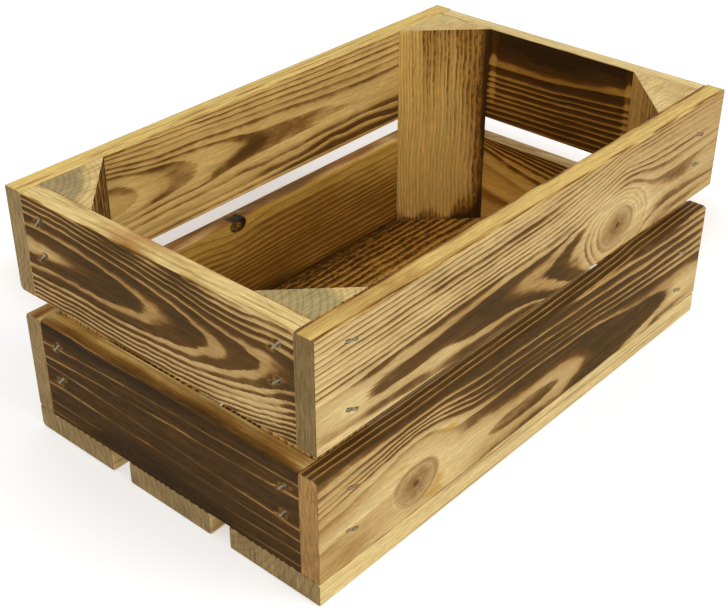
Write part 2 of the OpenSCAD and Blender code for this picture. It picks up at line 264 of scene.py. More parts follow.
            (200, 12, 0.62), (260, 12, 0.68), (320, 14, 0.72), (120, 3, 0.3), (200, 6, 0.3),
            (240, 3, 0.66), (300, 5, 0.6), (330, 4, 0.86), (400, 35, 0.2),
        ],
        "slope": -0.22, "knots": [], "other": 0.55, "seed": 23, "contrast": 0.88, "inner": True,
        "edge": [(0, 2, 0.05), (400, 2, 0.05), (0, 10, 0.03), (400, 10, 0.05)],
        "rims": [(4.6, 0.6, 0.5)], "edge_tint": (1.0, 0.93, 0.66), "tint": (1.12, 1.03, 0.76),
    },
    "back_lower_board": {
        "lines": [
            (0, [(0, 2), (400, 3)]),
            (3, [(0, 12), (200, 13), (400, 14.5)]),
            (6, [(0, 24), (165, 26), (220, 28), (335, 30), (400, 31)]),
            (9, [(0, 38), (130, 37), (165, 35), (200, 37), (335, 40), (400, 41)]),
            (11, [(0, 48), (130, 47), (165, 42.5), (200, 46), (335, 48), (400, 48)]),
            (13, [(0, 57), (130, 56), (165, 51), (195, 55), (335, 57), (400, 57)]),
            (14, [(0, 62), (130, 61), (150, 59), (165, 57), (180, 59), (200, 61), (400, 62)]),
            (15, [(0, 69), (130, 68), (155, 64), (165, 61), (175, 64), (200, 68), (400, 69)]),
        ],
        "scorch": [
            (0, 60, 0.25), (120, 66, 0.18), (165, 60, 0.25), (200, 66, 0.14), (300, 66, 0.12),
            (200, 58, 0.66), (260, 55, 0.72), (320, 52, 0.45), (150, 50, 0.5), (200, 44, 0.72),
            (180, 30, 0.9), (250, 28, 1.0), (320, 30, 0.8), (220, 12, 1.0), (320, 14, 0.9),
            # The marks at v 1 paint the shade where the board meets the floor slats, as black char
            (240, 5, 0.85), (320, 5, 0.8), (240, 1, 1.6), (320, 1, 1.6), (0, 20, 0.5), (400, 20, 0.6),
        ],
        "slope": -0.1, "knots": [(168, 67.5, 6.5, 5)], "bark": 1.0, "other": 0.6, "seed": 29,
        "contrast": 0.32, "inner": True,
        "edge": [
            (0, 1, 0.05), (400, 1, 0.05), (0, 3.5, 0.62), (200, 3.5, 0.7), (400, 3.5, 0.62),
            (0, 8, 0.36), (400, 8, 0.36), (0, 12, 0.3), (400, 12, 0.3),
        ],
        "resin": [(191, 69.5, 20, 3), (321, 69.5, 14, 3), (260, 70.8, 130, 1.1)],
        "edge_tint": (0.92, 0.86, 0.8), "tint": (0.8, 0.66, 0.29),
    },
    "left_upper_board": {
        "centre": [
            (0, 38), (60, 37.5), (108, 36), (125, 35.5), (154, 34.5), (172, 37), (194, 41), (218, 45),
        ],
        "depth": [(0, 1), (60, 6), (108, 13), (154, 20.4), (194, 24.7), (218, 27.2)],
        "rings": [13, 20.4, 24.7, 28.6, 31.5, 34.5, 37.5, 40.2, 42.8, 45.4, 47.9, 50.4, 53, 56],
        "scorch": [
            (0, 37, 0.62), (20, 36, 0.5), (30, 36, 0.6), (42, 36, 0.82), (80, 38, 1.0), (100, 36, 0.92),
            (0, 50, 0.88), (60, 46, 0.96), (60, 28, 0.92), (30, 26, 1.04), (0, 22, 0.66),
            (120, 42, 0.82), (120, 36, 0.8), (145, 38, 0.95), (145, 30, 0.85), (180, 40, 0.66),
            (190, 44, 0.8), (205, 48, 0.62), (214, 48, 0.95), (214, 30, 0.9), (20, 60, 0.9),
            (80, 60, 0.98), (120, 60, 0.9), (180, 60, 0.76), (215, 62, 0.55), (20, 67, 0.74),
            (60, 68, 0.9), (85, 69, 1.35), (97, 68, 1.25), (112, 68, 0.56), (122, 68, 0.8),
            (140, 69, 1.1), (155, 68, 0.64), (178, 68, 0.6), (200, 68, 0.36), (0, 68, 0.85),
            (40, 18, 0.62), (100, 18, 0.6), (180, 22, 0.42), (205, 20, 0.46), (216, 20, 0.8),
            (40, 10, 0.64), (120, 10, 0.56), (195, 8, 0.42), (216, 8, 0.8), (100, 1, 0.62),
            (200, 1, 0.7),
        ],
        "knots": [], "other": 0.5, "seed": 41, "drift": 0.6,
        "edge": [
            (0, 0.6, 0.2), (60, 0.6, 0.05), (85, 0.6, 0.45), (100, 0.6, 0.35), (115, 0.6, 0.0),
            (145, 0.6, 0.3), (160, 0.6, 0.0), (218, 0.6, 0.05), (0, 3, 0.02), (218, 3, 0.0),
            (0, 8, 0.03), (218, 8, 0.0), (0, 12.5, 0.3), (218, 12.5, 0.2),
        ],
        "edge_tint": (1.03, 1.02, 0.95), "tint": (0.97, 0.95, 0.92),
    },
    "left_lower_board": {
        "lines": [
            (-1, [(0, 3), (100, 4), (218, 5)]),
            (0, [(0, 11), (100, 13), (218, 14.5)]),
            (1, [(0, 25.5), (45, 25.5), (100, 25), (218, 23)]),
            (2, [(0, 39), (60, 38), (218, 31)]),
            (3, [(0, 45), (40, 47.5), (80, 49.5), (125, 50.5), (180, 51.5), (218, 53)]),
            (4, [(0, 55.5), (40, 57.5), (80, 59.5), (120, 60.5), (218, 61.7)]),
            (5, [(0, 68), (100, 70), (218, 71)]),
        ],
        "scorch": [
            (0, 56, 0.92), (20, 57, 0.98), (70, 59, 1.14), (120, 60.5, 1.16), (165, 61.5, 0.98),
            (212, 62, 0.82), (0, 45, 0.82), (30, 47, 1.0), (80, 50, 1.32), (124, 51, 1.0),
            (145, 52, 1.26), (185, 53, 1.1), (214, 53.5, 0.92), (0, 40, 0.92), (20, 38, 1.1),
            (100, 38, 1.34), (200, 36, 1.0), (10, 26, 1.02), (40, 26, 0.95), (60, 25.5, 1.18),
            (95, 25, 1.16), (130, 25, 1.4), (205, 23, 0.98), (208, 15, 0.98), (160, 15, 1.4),
            (100, 15, 1.6), (20, 12, 1.1), (60, 10, 1.6), (160, 6, 1.6), (60, 66, 1.8), (120, 67, 1.8),
            (190, 68, 1.5), (10, 68, 1.8),
        ],
        "slope": -0.12, "knots": [], "other": 0.6, "seed": 47, "thin": 0.5,
        "edge": [
            (0, 0.8, 0.7), (218, 0.8, 0.8), (0, 4, 0.24), (218, 4, 0.2), (0, 12, 0.3), (218, 12, 0.26),
        ],
        "edge_tint": (0.88, 0.88, 0.72), "tint": (0.84, 0.79, 0.76),
    },
    "right_upper_board": {
        "lines": [
            (0, [(0, -1), (218, 3)]),
            (1, [(0, 3.5), (50, 4), (218, 8)]),
            (2, [(0, 8), (50, 8.5), (218, 13)]),
            (3, [(0, 12.5), (50, 13), (218, 18)]),
            (4, [(0, 17), (50, 17.5), (218, 22.5)]),
            (5, [(0, 21), (50, 21), (100, 22.5), (170, 26), (218, 27)]),
            (6, [(0, 27), (50, 26.5), (100, 28), (170, 31.5), (218, 33)]),
            (7, [(0, 31), (50, 31), (100, 32), (170, 36.5), (218, 38)]),
            (8, [(0, 34.5), (50, 35), (100, 36), (130, 38.5), (170, 41.5), (218, 43)]),
            (9, [(0, 43.5), (50, 43.5), (100, 44.5), (120, 46), (140, 48.5), (170, 51.5), (218, 53)]),
            (10, [(0, 73), (218, 76)]),
        ],
        "scorch": [
            (30, 60, 1.6), (50, 56, 1.6), (110, 58, 1.75), (110, 68, 1.8), (170, 64, 1.7),
            (60, 45, 0.8), (110, 46, 0.8), (160, 52, 0.8), (50, 40, 0.9), (110, 41, 0.98),
            (160, 46, 1.0), (100, 30, 0.84), (50, 20, 0.7), (100, 20, 0.76), (160, 26, 0.8),
            (100, 8, 0.8), (50, 5, 0.84), (110, 1, 1.05),
        ],
        "slope": -0.16, "knots": [], "other": 0.55, "edge": 0.06, "seed": 53, "bare": (52, 168),
        "inner": True, "tint": (0.8, 0.62, 0.26),
    },
    "right_lower_board": {
        "lines": [
            (5, [(0, 72), (40, 70), (60, 67), (90, 64), (120, 60), (218, 52)]),
            (4, [(0, 70), (40, 68), (50, 66), (70, 62), (110, 56.5), (218, 46)]),
            (3, [(0, 68), (45, 64), (60, 60), (80, 54), (100, 50.5), (218, 38)]),
            (2, [(0, 56), (50, 50), (100, 36), (218, 24)]),
            (1, [(0, 30), (50, 28), (100, 20), (218, 8)]),
            (0, [(0, 2), (100, 0)]),
            (7, [(60, 71), (218, 62)]),
            (9, [(140, 71), (218, 69)]),
        ],
        "scorch": [
            (50, 66, 0.62), (90, 60, 0.6), (120, 66, 0.72), (180, 60, 0.6), (60, 50, 0.22),
            (60, 30, 0.16), (100, 20, 0.12), (100, 36, 0.16), (180, 30, 0.3), (60, 5, 0.3),
            (90, 70, 1.0),
        ],
        "slope": -0.1, "knots": [], "other": 0.5, "edge": 0.24, "seed": 61, "inner": True,
        "edge_tint": (0.86, 0.88, 0.9), "tint": (1.02, 0.78, 0.36),
    },
    "front_slat": {
        "centre": [(0, 84), (400, 88)], "depth": [(0, 26), (400, 22)], "rings": (8, 3.4, 6.5, 67),
        "toward": 1, "scorch": [(100, 10, 0.75), (100, 60, 0.85), (300, 10, 0.7), (300, 60, 0.9)],
        "knots": [], "other": 0.5, "edge": 0.08, "seed": 71, "drift": 0.9, "tint": (0.9, 0.84, 0.7),
    },
    "middle_slat": {
        "centre": [(0, -16), (400, -20)], "depth": [(0, 24), (400, 30)], "rings": (8, 3.4, 6.5, 73),
        "toward": 1, "scorch": [(100, 10, 0.85), (100, 60, 0.8), (300, 10, 0.9), (300, 60, 0.8)],
        "knots": [], "other": 0.55, "edge": 0.22, "seed": 79, "drift": 0.9, "inner": True,
        "tint": (0.84, 0.72, 0.52),
    },
    "back_slat": {
        "centre": [(0, -24), (400, -20)], "depth": [(0, 20), (400, 26)], "rings": (8, 4.4, 6.6, 83),
        "toward": 1,
        "scorch": [
            (60, 6, 0.48), (300, 6, 0.5), (60, 26, 0.6), (300, 26, 0.62), (60, 40, 0.8), (300, 40, 0.8),
            (200, 52, 1.0), (350, 52, 0.98), (200, 60, 1.6), (350, 60, 1.6),
        ],
        "knots": [], "other": 0.5, "edge": 0.22, "seed": 89, "drift": 0.9, "inner": True,
        "tint": (1.0, 0.83, 0.41), "crust": 0.65,
    },
}

# Posts: their pith as distances from the corner along x and y, their rings as (first, narrowest, widest,
# seed) and their scorching as (height, place across the inner face from its x side, amount). end is the
# tone of the ends, and stain the direction, place and softness of the line past which they are warmer, as
# distances from the corner. tint, contrast and seed are as for the boards.
POSTS = {
    "front_left_post": {
        "pith": (-34, 60), "rings": (6, 2.6, 5.0, 101), "seed": 103, "end": (0.6, 0.61, 0.6),
        "scorch": [(0, 20, 0.5), (80, 30, 0.4), (159, 20, 0.5)], "stain": (0.96, -0.28, 23, 4),
        "tint": (0.9, 0.8, 0.58), "contrast": 1.0,
    },
    "front_right_post": {
        "pith": (80, -20), "rings": (6, 2.2, 4.0, 107), "seed": 109, "end": (0.98, 0.95, 0.9),
        "scorch": [(0, 20, 0.5), (80, 30, 0.45), (159, 20, 0.55)], "stain": (1, 0, -40, 9),
        "tint": (0.85, 0.68, 0.38), "contrast": 0.9,
    },
    "back_left_post": {
        "pith": (-14, -10), "rings": (6, 3.0, 5.0, 113), "seed": 127, "end": (0.6, 0.6, 0.62),
        "scorch": [(0, 20, 0.9), (80, 30, 0.85), (159, 20, 0.95)], "stain": (0.8, 0.6, 24, 3),
        "tint": (0.9, 0.8, 0.62), "contrast": 1.0,
    },
    "back_right_post": {
        "pith": (-60, 34), "rings": (6, 1.7, 2.7, 131), "seed": 137, "end": (1, 1, 1),
        "scorch": [
            (0.5, 10, 1.4), (0.5, 40, 1.4), (3, 10, 0.25), (3, 40, 0.25), (12, 20, 0.14), (12, 45, 0.2),
            (70, 15, 0.1), (70, 45, 0.16), (120, 10, 0.26), (120, 40, 0.36), (150, 15, 0.4),
            (150, 40, 0.5), (158, 20, 0.8), (158, 45, 0.8), (20, 56, 0.36), (80, 56, 0.36),
            (140, 56, 0.55), (20, 61, 0.85), (80, 61, 0.9), (140, 61, 0.95), (20, 66.5, 1.6),
            (80, 66.5, 1.7), (140, 66.5, 1.7),
        ],
        "stain": (1, 0, -40, 9), "tint": (1.06, 0.91, 0.56), "contrast": 0.48,
    },
}

# The staples that are driven into each board
STAPLED = {
    "front_upper_board": "front_staples", "front_lower_board": "front_staples",
    "back_upper_board": "back_staples", "back_lower_board": "back_staples",
    "left_upper_board": "left_staples", "left_lower_board": "left_staples",
    "right_upper_board": "right_staples", "right_lower_board": "right_staples",
    "front_slat": "bottom_staples", "middle_slat": "bottom_staples", "back_slat": "bottom_staples",
}

# Radii of the long edges in millimetres, by the side through the board and the side across its face
EASED = 3.0
SHARP = 0.8
ROUNDED = {
    "front_upper_board": {(1, -1): EASED, (1, 1): EASED / 2},
    "front_lower_board": {(-1, 1): EASED},
    "back_upper_board": {(1, -1): EASED},
    "back_lower_board": {(1, -1): EASED, (1, 1): EASED},
    "left_upper_board": {(-1, 1): EASED},
    "left_lower_board": {(-1, 1): EASED},
    "right_upper_board": {(1, 1): EASED},
    "right_lower_board": {(1, 1): EASED},
    "front_slat": {(1, -1): EASED},
    "middle_slat": {(1, -1): EASED},
    "back_slat": {(1, -1): EASED, (-1, 1): EASED},
}

# Fineness of the cuts, in millimetres
CUT_ALONG = 4.2
CUT_ALONG_POST = 4.5
CUT_ACROSS_POST = 0.85
CUT_THROUGH = 0.8
CUT_END = 0.4
CUT_AT_CROWN = 0.8
CUT_AT_STAPLES = 0.7
CUT_AT_KNOT = 1.0
CUT_BESIDE_KNOT = 2.2
CUT_AT_STRIPE = 1.2
STAPLE_INSET = 27

# Depth of a groove in unburnt wood, and what full scorching adds to it, in millimetres
BOARD_GROOVES = (0.05, 0.3)
POST_GROOVES = (0.12, 0.36)

# Pits round the staples of boards along x and along y: depth, reach and how far they are off the crown
PIT_DEPTH = (0.75, 1.25)
PIT_REACH = (0.9, 1.45)
PIT_SHIFT = (0.3, 1.2)

# Drawn lines and marks carry this many times further along u than across
STRETCH = 3.0
MARK_SPACING = 6.0
LEAST_SPACING = 0.5
SKIN_SOFTNESS = 4.0
POINTS_AT_ONCE = 4000

# What the mesh stores away from every knot, the ring count in the middle of a knot, and how many different
# strengths the rings of a post have
NO_KNOT = 2.0
KNOT_RINGS = -20.0
KINDS_OF_RING = 128


# Shapes

def smoothstep(value, low, high):
    """Smooth rise from 0 at low to 1 at high."""
    share = np.clip((value - low) / (high - low), 0.0, 1.0)
    return share * share * (3.0 - 2.0 * share)


def along(points, u):
    """Value of a drawn line at u, with its kinks smoothed out."""
    where, value = zip(*points)
    return sum(np.interp(u + step, where, value) for step in (-16, -8, 0, 8, 16)) / 5.0


def drift(u, v, w, seed, length, amount):
    """Slow wandering of the grain, as a few waves of about the given length along u."""
    chance = np.random.default_rng(seed)
    total = np.zeros_like(u)
    for _ in range(5):
        turn = 2.0 * math.pi / (length * chance.uniform(0.6, 1.7))
        lean_v = chance.uniform(-0.06, 0.06)
        lean_w = chance.uniform(-0.06, 0.06)
        start = chance.uniform(0, 6.28)
        total += np.sin(turn * u + lean_v * v + lean_w * w + start)
    return amount * total / 2.2


def ring_radii(rings):
    """Radii of the year rings, as given or by chance within (first, narrow, wide, seed)."""
    if isinstance(rings, list):
        last = rings[-1]
        return np.array([0.0] + rings + [last + 3.0 * step for step in range(1, 40)])
    first, narrow, wide, seed = rings
    chance = np.random.default_rng(seed)
    return np.concatenate([[0.0], first + np.cumsum(chance.uniform(narrow, wide, 60))])


def groove_share(rings, burn):
    """How far each point lies in the scorched, softer part of its year ring."""
    phase = rings - np.floor(rings)
    width = 0.16 + 0.64 * burn
    soft = 0.05 + 0.10 * width
    start = 1.0 - width
    return smoothstep(phase, start - soft, start + soft) * (1.0 - smoothstep(phase, 0.93, 1.0))


def drawn(marks, u, v):
    """Values at points between given ones, as smooth as a skin stretched over them and longer along u."""
    marks = np.array(marks, float) * (1.0 / STRETCH, 1.0, 1.0)

    def pull(a, b):
        gap_u = a[:, None, 0] - b[None, :, 0]
        gap_v = a[:, None, 1] - b[None, :, 1]
        return np.sqrt(gap_u ** 2 + gap_v ** 2 + SKIN_SOFTNESS)

    count = len(marks)
    level = np.column_stack([np.ones(count), marks[:, :2]])
    system = np.zeros((count + 3, count + 3))
    system[:count, :count] = pull(marks, marks)
    system[:count, count:] = level
    system[count:, :count] = level.T
    shares = np.linalg.solve(system, np.concatenate([marks[:, 2], np.zeros(3)]))
    where = np.column_stack([u / STRETCH, v])
    values = np.empty(len(where))
    for first in range(0, len(where), POINTS_AT_ONCE):
        last = first + POINTS_AT_ONCE
        part = where[first:last]
        values[first:last] = pull(part, marks) @ shares[:count] + shares[count] + part @ shares[count + 1:]
    return values


def line_marks(lines):
    """Ring lines broken into separate points a few millimetres apart."""
    marks = []
    for ring, line in lines:
        line = np.array(line, float)
        steps = np.hypot(np.diff(line[:, 0]) / STRETCH, np.diff(line[:, 1]))
        run = np.concatenate([[0.0], np.cumsum(steps)])
        for at in np.linspace(0.0, run[-1], int(run[-1] / MARK_SPACING) + 2 if len(line) > 1 else 1):
            marks.append((np.interp(at, run, line[:, 0]), np.interp(at, run, line[:, 1]), ring))
    kept = []
    for mark in marks:
        gaps = (math.hypot((mark[0] - other[0]) / STRETCH, mark[1] - other[1]) for other in kept)
        if all(gap > LEAST_SPACING for gap in gaps):
            kept.append(mark)
    return kept


def grow(wood, thickness, u, v, w):
    """Ring count, scorching and the shares of knots, resin and browned bands at points of a board, in
    millimetres.
    """
    seed = wood["seed"]
    if "lines" in wood:
        across = v + drift(u, 2 * v, w, seed, 60, 0.12) + drift(u, 5 * v, w, seed + 1, 17, 0.05)
        rings = drawn(line_marks(wood["lines"]), u, across) + wood["slope"] * w
    else:
        centre = along(wood["centre"], u) + drift(u, v, w, seed, 110, wood["drift"])
        depth = along(wood["depth"], u) + wood.get("toward", -1) * w
        radius = np.hypot(v - centre, depth)
        radius += (drift(u, 3 * v, w, seed + 1, 45, 0.3 * wood["drift"])
                   + drift(u, 8 * v, w, seed + 2, 15, 0.12))
        radii = ring_radii(wood["rings"])
        rings = np.interp(radius, radii, np.arange(-1, len(radii) - 1))
    if "thin" in wood:
        rings = np.floor(rings) + (rings - np.floor(rings)) ** wood["thin"]
    heart = np.full_like(u, NO_KNOT)
    for ku, kv, core_u, core_v in wood["knots"]:
        turn = np.arctan2((v - kv) / core_v, (u - ku) / core_u)
        core = np.hypot((u - ku) / core_u, (v - kv) / core_v)
        core *= 1.0 + 0.035 * np.sin(2 * turn + seed) + 0.025 * np.sin(3 * turn + 2 * seed)
        share = 1.0 - smoothstep(core, 0.90, 1.08)
        rings = rings * (1.0 - share) + (KNOT_RINGS + 0.62 * core_v * core) * share
        heart = np.where(w < 0.6 * thickness, np.minimum(heart, core), heart)
    front = 1.0 - w / thickness
    burn = drawn(wood["scorch"], u, v) * front + wood["other"] * (1.0 - front)
    burn += drift(u, 5 * v, 5 * w, seed + 7, 70, 0.04)
    for place in wood.get("bare", ()):
        stripe = 1.0 - smoothstep(np.abs(u - place), 1.0, 4.5)
        burn -= 0.5 * burn * front * stripe * smoothstep(v, 5, 25)
    browned = front * drawn(wood["browned"], u, v) if "browned" in wood else np.zeros_like(u)
    resin = np.zeros_like(u)
    for ru, rv, half_u, half_v in wood.get("resin", ()):
        away = np.hypot((u - ru) / half_u, (v - rv + 0.5 * w) / half_v)
        resin = np.maximum(resin, front * (1.0 - smoothstep(away, 0.2, 1.0)))
    return rings, burn, {"heart": heart, "resin": resin, "browned": np.clip(browned, 0.0, 1.0)}


def cut_marks(low, high, spacing, dense=(), ends=0.0):
    """Places of the cuts along an axis in millimetres, closer inside each (middle, half width, spacing)."""
    fine = np.linspace(low, high, int((high - low) / 0.05) + 1)
    density = np.full_like(fine, 1.0 / spacing)
    for middle, half, close in dense:
        inside = 1.0 - smoothstep(np.abs(fine - middle), 0.8 * half, 1.2 * half)
        density = np.maximum(density, inside / close + (1.0 - inside) / spacing)
    count = np.concatenate([[0.0], np.cumsum(0.5 * (density[1:] + density[:-1]) * np.diff(fine))])
    marks = np.interp(np.linspace(0.0, count[-1], math.ceil(count[-1]) + 1), count, fine)
    if ends:
        marks = np.concatenate([[low, low + ends], marks[1:-1], [high - ends, high]])
    return marks


def sawn_block(cells):
    """A closed block of square cells, one unit each, with its corner at the origin, as a mesh."""
    block = bmesh.new()
    bmesh.ops.create_cube(block, size=1.0)
    bmesh.ops.translate(block, verts=block.verts, vec=(0.5, 0.5, 0.5))
    for axis, count in enumerate(cells):
        edges = [e for e in block.edges if abs(e.verts[0].co[axis] - e.verts[1].co[axis]) > 0.5]
        bmesh.ops.subdivide_edges(block, edges=edges, cuts=count - 1, use_grid_fill=True)
    bmesh.ops.scale(block, verts=block.verts, vec=[float(count) for count in cells])
    for face in block.faces:
        face.smooth = True
    mesh = bpy.data.meshes.new("block")
    block.to_mesh(mesh)
    block.free()
    return mesh


def read_points(mesh, what="co"):
    """Coordinates or normals of a mesh's vertices, one row each."""
    values = np.empty(len(mesh.vertices) * 3)
    mesh.vertices.foreach_get(what, values)
    return values.reshape(-1, 3)


def write_points(mesh, points):
    """Moves the mesh's vertices to the given points."""
    mesh.vertices.foreach_set("co", points.ravel())
    mesh.update()


def write_share(mesh, name, values):
    """Stores one number for each vertex, which the material reads."""
    layer = mesh.attributes.new(name=name, type="FLOAT", domain="POINT")
    layer.data.foreach_set("value", values.astype(np.float32))


def ease_corners(a, b, spans, radii):
    """Draws the square corners of a section onto their roundings, in place."""
    for side_a in (-1, 1):
        for side_b in (-1, 1):
            radius = radii.get((side_a, side_b), SHARP)
            middle_a = spans[0][(side_a + 1) // 2] - side_a * radius
            middle_b = spans[1][(side_b + 1) // 2] - side_b * radius
            out_a = side_a * (a - middle_a)
            out_b = side_b * (b - middle_b)
            corner = (out_a > 0) & (out_b > 0)
            shrink = np.maximum(out_a, out_b)[corner] / np.hypot(out_a, out_b)[corner]
            a[corner] = middle_a + side_a * out_a[corner] * shrink
            b[corner] = middle_b + side_b * out_b[corner] * shrink


def staple_marks(node, axis, outwards, low, high):
    """Middle and direction of each staple crown of a CAD node that lies inside the board's box."""
    points = read_points(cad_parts[node].data) / MM
    face = high[axis] if outwards > 0 else low[axis]
    near = points[np.abs(points[:, axis] - face) < 0.6]
    others = [i for i in range(3) if i != axis]
    near = near[np.all((near[:, others] > low[others]) & (near[:, others] < high[others]), axis=1)][:, others]
    marks = []
    while len(near):
        group = np.linalg.norm(near - near[0], axis=1) < 11.0
        crown, near = near[group], near[~group]
        middle = crown.mean(axis=0)
        spread = np.linalg.svd(crown - middle, full_matrices=False)[2][0]
        marks.append((middle, spread, 0.5 * np.ptp((crown - middle) @ spread)))
    return others, marks


def finish_piece(name, node, mesh, material):
    """Links a finished piece, gives it its material and lets it stand for its CAD node."""
    mesh.name = name
    mesh.materials.clear()
    mesh.materials.append(material)
    piece = bpy.data.objects.new(name, mesh)
    bpy.context.scene.collection.objects.link(piece)
    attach(piece, "root")
    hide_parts(node)


def make_board(node, grain, across, through, face, spacing, material):
    """Saws, rounds, scorches and brushes a board; face is the side of the through axis with its figure."""
    wood = WOOD[node]
    low, high = (np.array(corner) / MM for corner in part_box(node))
    thickness = high[through] - low[through]
    outwards = {"front": -1, "left": -1, "bottom": -1}.get(STAPLED[node].split("_")[0], 1)
    others, staples = staple_marks(STAPLED[node], through, outwards, low, high)
    dense, dense_across = [], []
    if STAPLED[node] == "bottom_staples":
        for middle, direction, half in staples:
            dense.append((middle[0], 3.5 + half * abs(direction[0]), CUT_AT_CROWN))
            dense_across.append((middle[1], 3.5 + half * abs(direction[1]), CUT_AT_CROWN))
    else:
        dense = [(low[grain] + STAPLE_INSET, 5.5, CUT_AT_STAPLES),
                 (high[grain] - STAPLE_INSET, 5.5, CUT_AT_STAPLES)]
    for ku, _, core_u, _ in wood["knots"]:
        dense += [(low[grain] + ku, core_u * 1.2, CUT_AT_KNOT),
                  (low[grain] + ku, core_u + 25, CUT_BESIDE_KNOT)]
    dense += [(high[grain] - place, 6.0, CUT_AT_STRIPE) for place in wood.get("bare", ())]
    marks = [None, None, None]
    marks[grain] = cut_marks(low[grain], high[grain], CUT_ALONG, dense, ends=CUT_END)
    marks[across] = cut_marks(low[across], high[across], spacing, dense_across)
    marks[through] = cut_marks(low[through], high[through], CUT_THROUGH)
    mesh = sawn_block([len(m) - 1 for m in marks])
    steps = np.rint(read_points(mesh)).astype(int)
    points = np.stack([marks[axis][steps[:, axis]] for axis in range(3)], axis=1)

    a, b = points[:, through].copy(), points[:, across].copy()
    ease_corners(a, b, [(low[through], high[through]), (low[across], high[across])], ROUNDED.get(node, {}))
    at_end = (steps[:, grain] == 0) | (steps[:, grain] == len(marks[grain]) - 1)
    for values, axis in ((a, through), (b, across)):
        middle, half = 0.5 * (low[axis] + high[axis]), 0.5 * (high[axis] - low[axis])
        values[at_end] = middle + (values[at_end] - middle) * (1.0 - 0.35 / half)
    points[:, through], points[:, across] = a, b
    write_points(mesh, points * MM)
    normals = read_points(mesh, "normal")

    u = points[:, grain] - low[grain] if grain == 0 else high[grain] - points[:, grain]
    v = points[:, across] - low[across]
    w = points[:, through] - low[through] if face < 0 else high[through] - points[:, through]
    rings, burn, shares = grow(wood, thickness, u, v, w)
    broad = smoothstep(np.abs(normals[:, through]), 0.70, 0.93)
    edge = drawn(wood["edge"], u, w) if isinstance(wood["edge"], list) else wood["edge"]
    edge = edge + drift(u, 9 * v, 9 * w, wood["seed"] + 9, 60, 0.06)
    for place, half, amount in wood.get("rims", ()):
        line = np.exp(-((w - place - drift(u, v, v, wood["seed"] + 15, 80, 0.3)) / half) ** 2)
        edge = edge + amount * line * np.clip(0.7 + drift(u, v, v, wood["seed"] + 16, 50, 0.7), 0.0, 1.3)
    burn = np.clip(burn * broad + edge * (1.0 - broad), 0.0, 2.0)
    arris = smoothstep(np.minimum(np.abs(normals[:, through]), np.abs(normals[:, across])), 0.50, 0.66)
    burn += arris * np.clip(0.16 + drift(u, 9 * v, 9 * w, wood["seed"] + 13, 30, 0.16), 0.0, 0.5)
    sawn = (np.abs(normals[:, grain]) > 0.6).astype(float)
    narrow = (1.0 - broad) * (1.0 - sawn)

    hard = np.minimum(burn, 1.0)
    plain, added = BOARD_GROOVES
    relief = (plain + added * hard) * groove_share(rings, hard) * (0.25 + 0.75 * broad) * (1.0 - 0.7 * sawn)
    # The pits round the staples hold torn wood and, next to the wire, painted shade
    torn = np.zeros_like(u)
    chance = np.random.default_rng(wood["seed"] + 21)
    for middle, direction, half in staples:
        gap = points[:, others] - (middle + chance.uniform(-0.5, 0.5, 2) * PIT_SHIFT[grain])
        run = gap @ direction
        side = gap @ np.array([-direction[1], direction[0]])
        away = np.hypot(np.maximum(np.abs(run) - half, 0.0), side)
        reach = PIT_REACH[grain] + 0.22 * np.sin(0.8 * run + chance.uniform(0, 6.28))
        dent = (1.0 - smoothstep(away, 0.5 * reach, 1.9 * reach)) * (normals[:, through] * outwards > 0.7)
        relief = np.maximum(relief, PIT_DEPTH[grain] * dent)
        torn = np.maximum(torn, dent)
    write_points(mesh, (points - normals * relief[:, None]) * MM)
    # reverse is the share of the board's back side, where the painted shade in the tint of boards inside the
    # crate gives way to the tone in bright light
    shares.update(rings=rings, burn=burn, sawn=sawn, torn=torn, narrow=narrow,
                  reverse=smoothstep(w, 0.5 * thickness, 0.9 * thickness))
    for name, values in shares.items():
        write_share(mesh, name, values)
    finish_piece("pine_" + node, node, mesh, material)


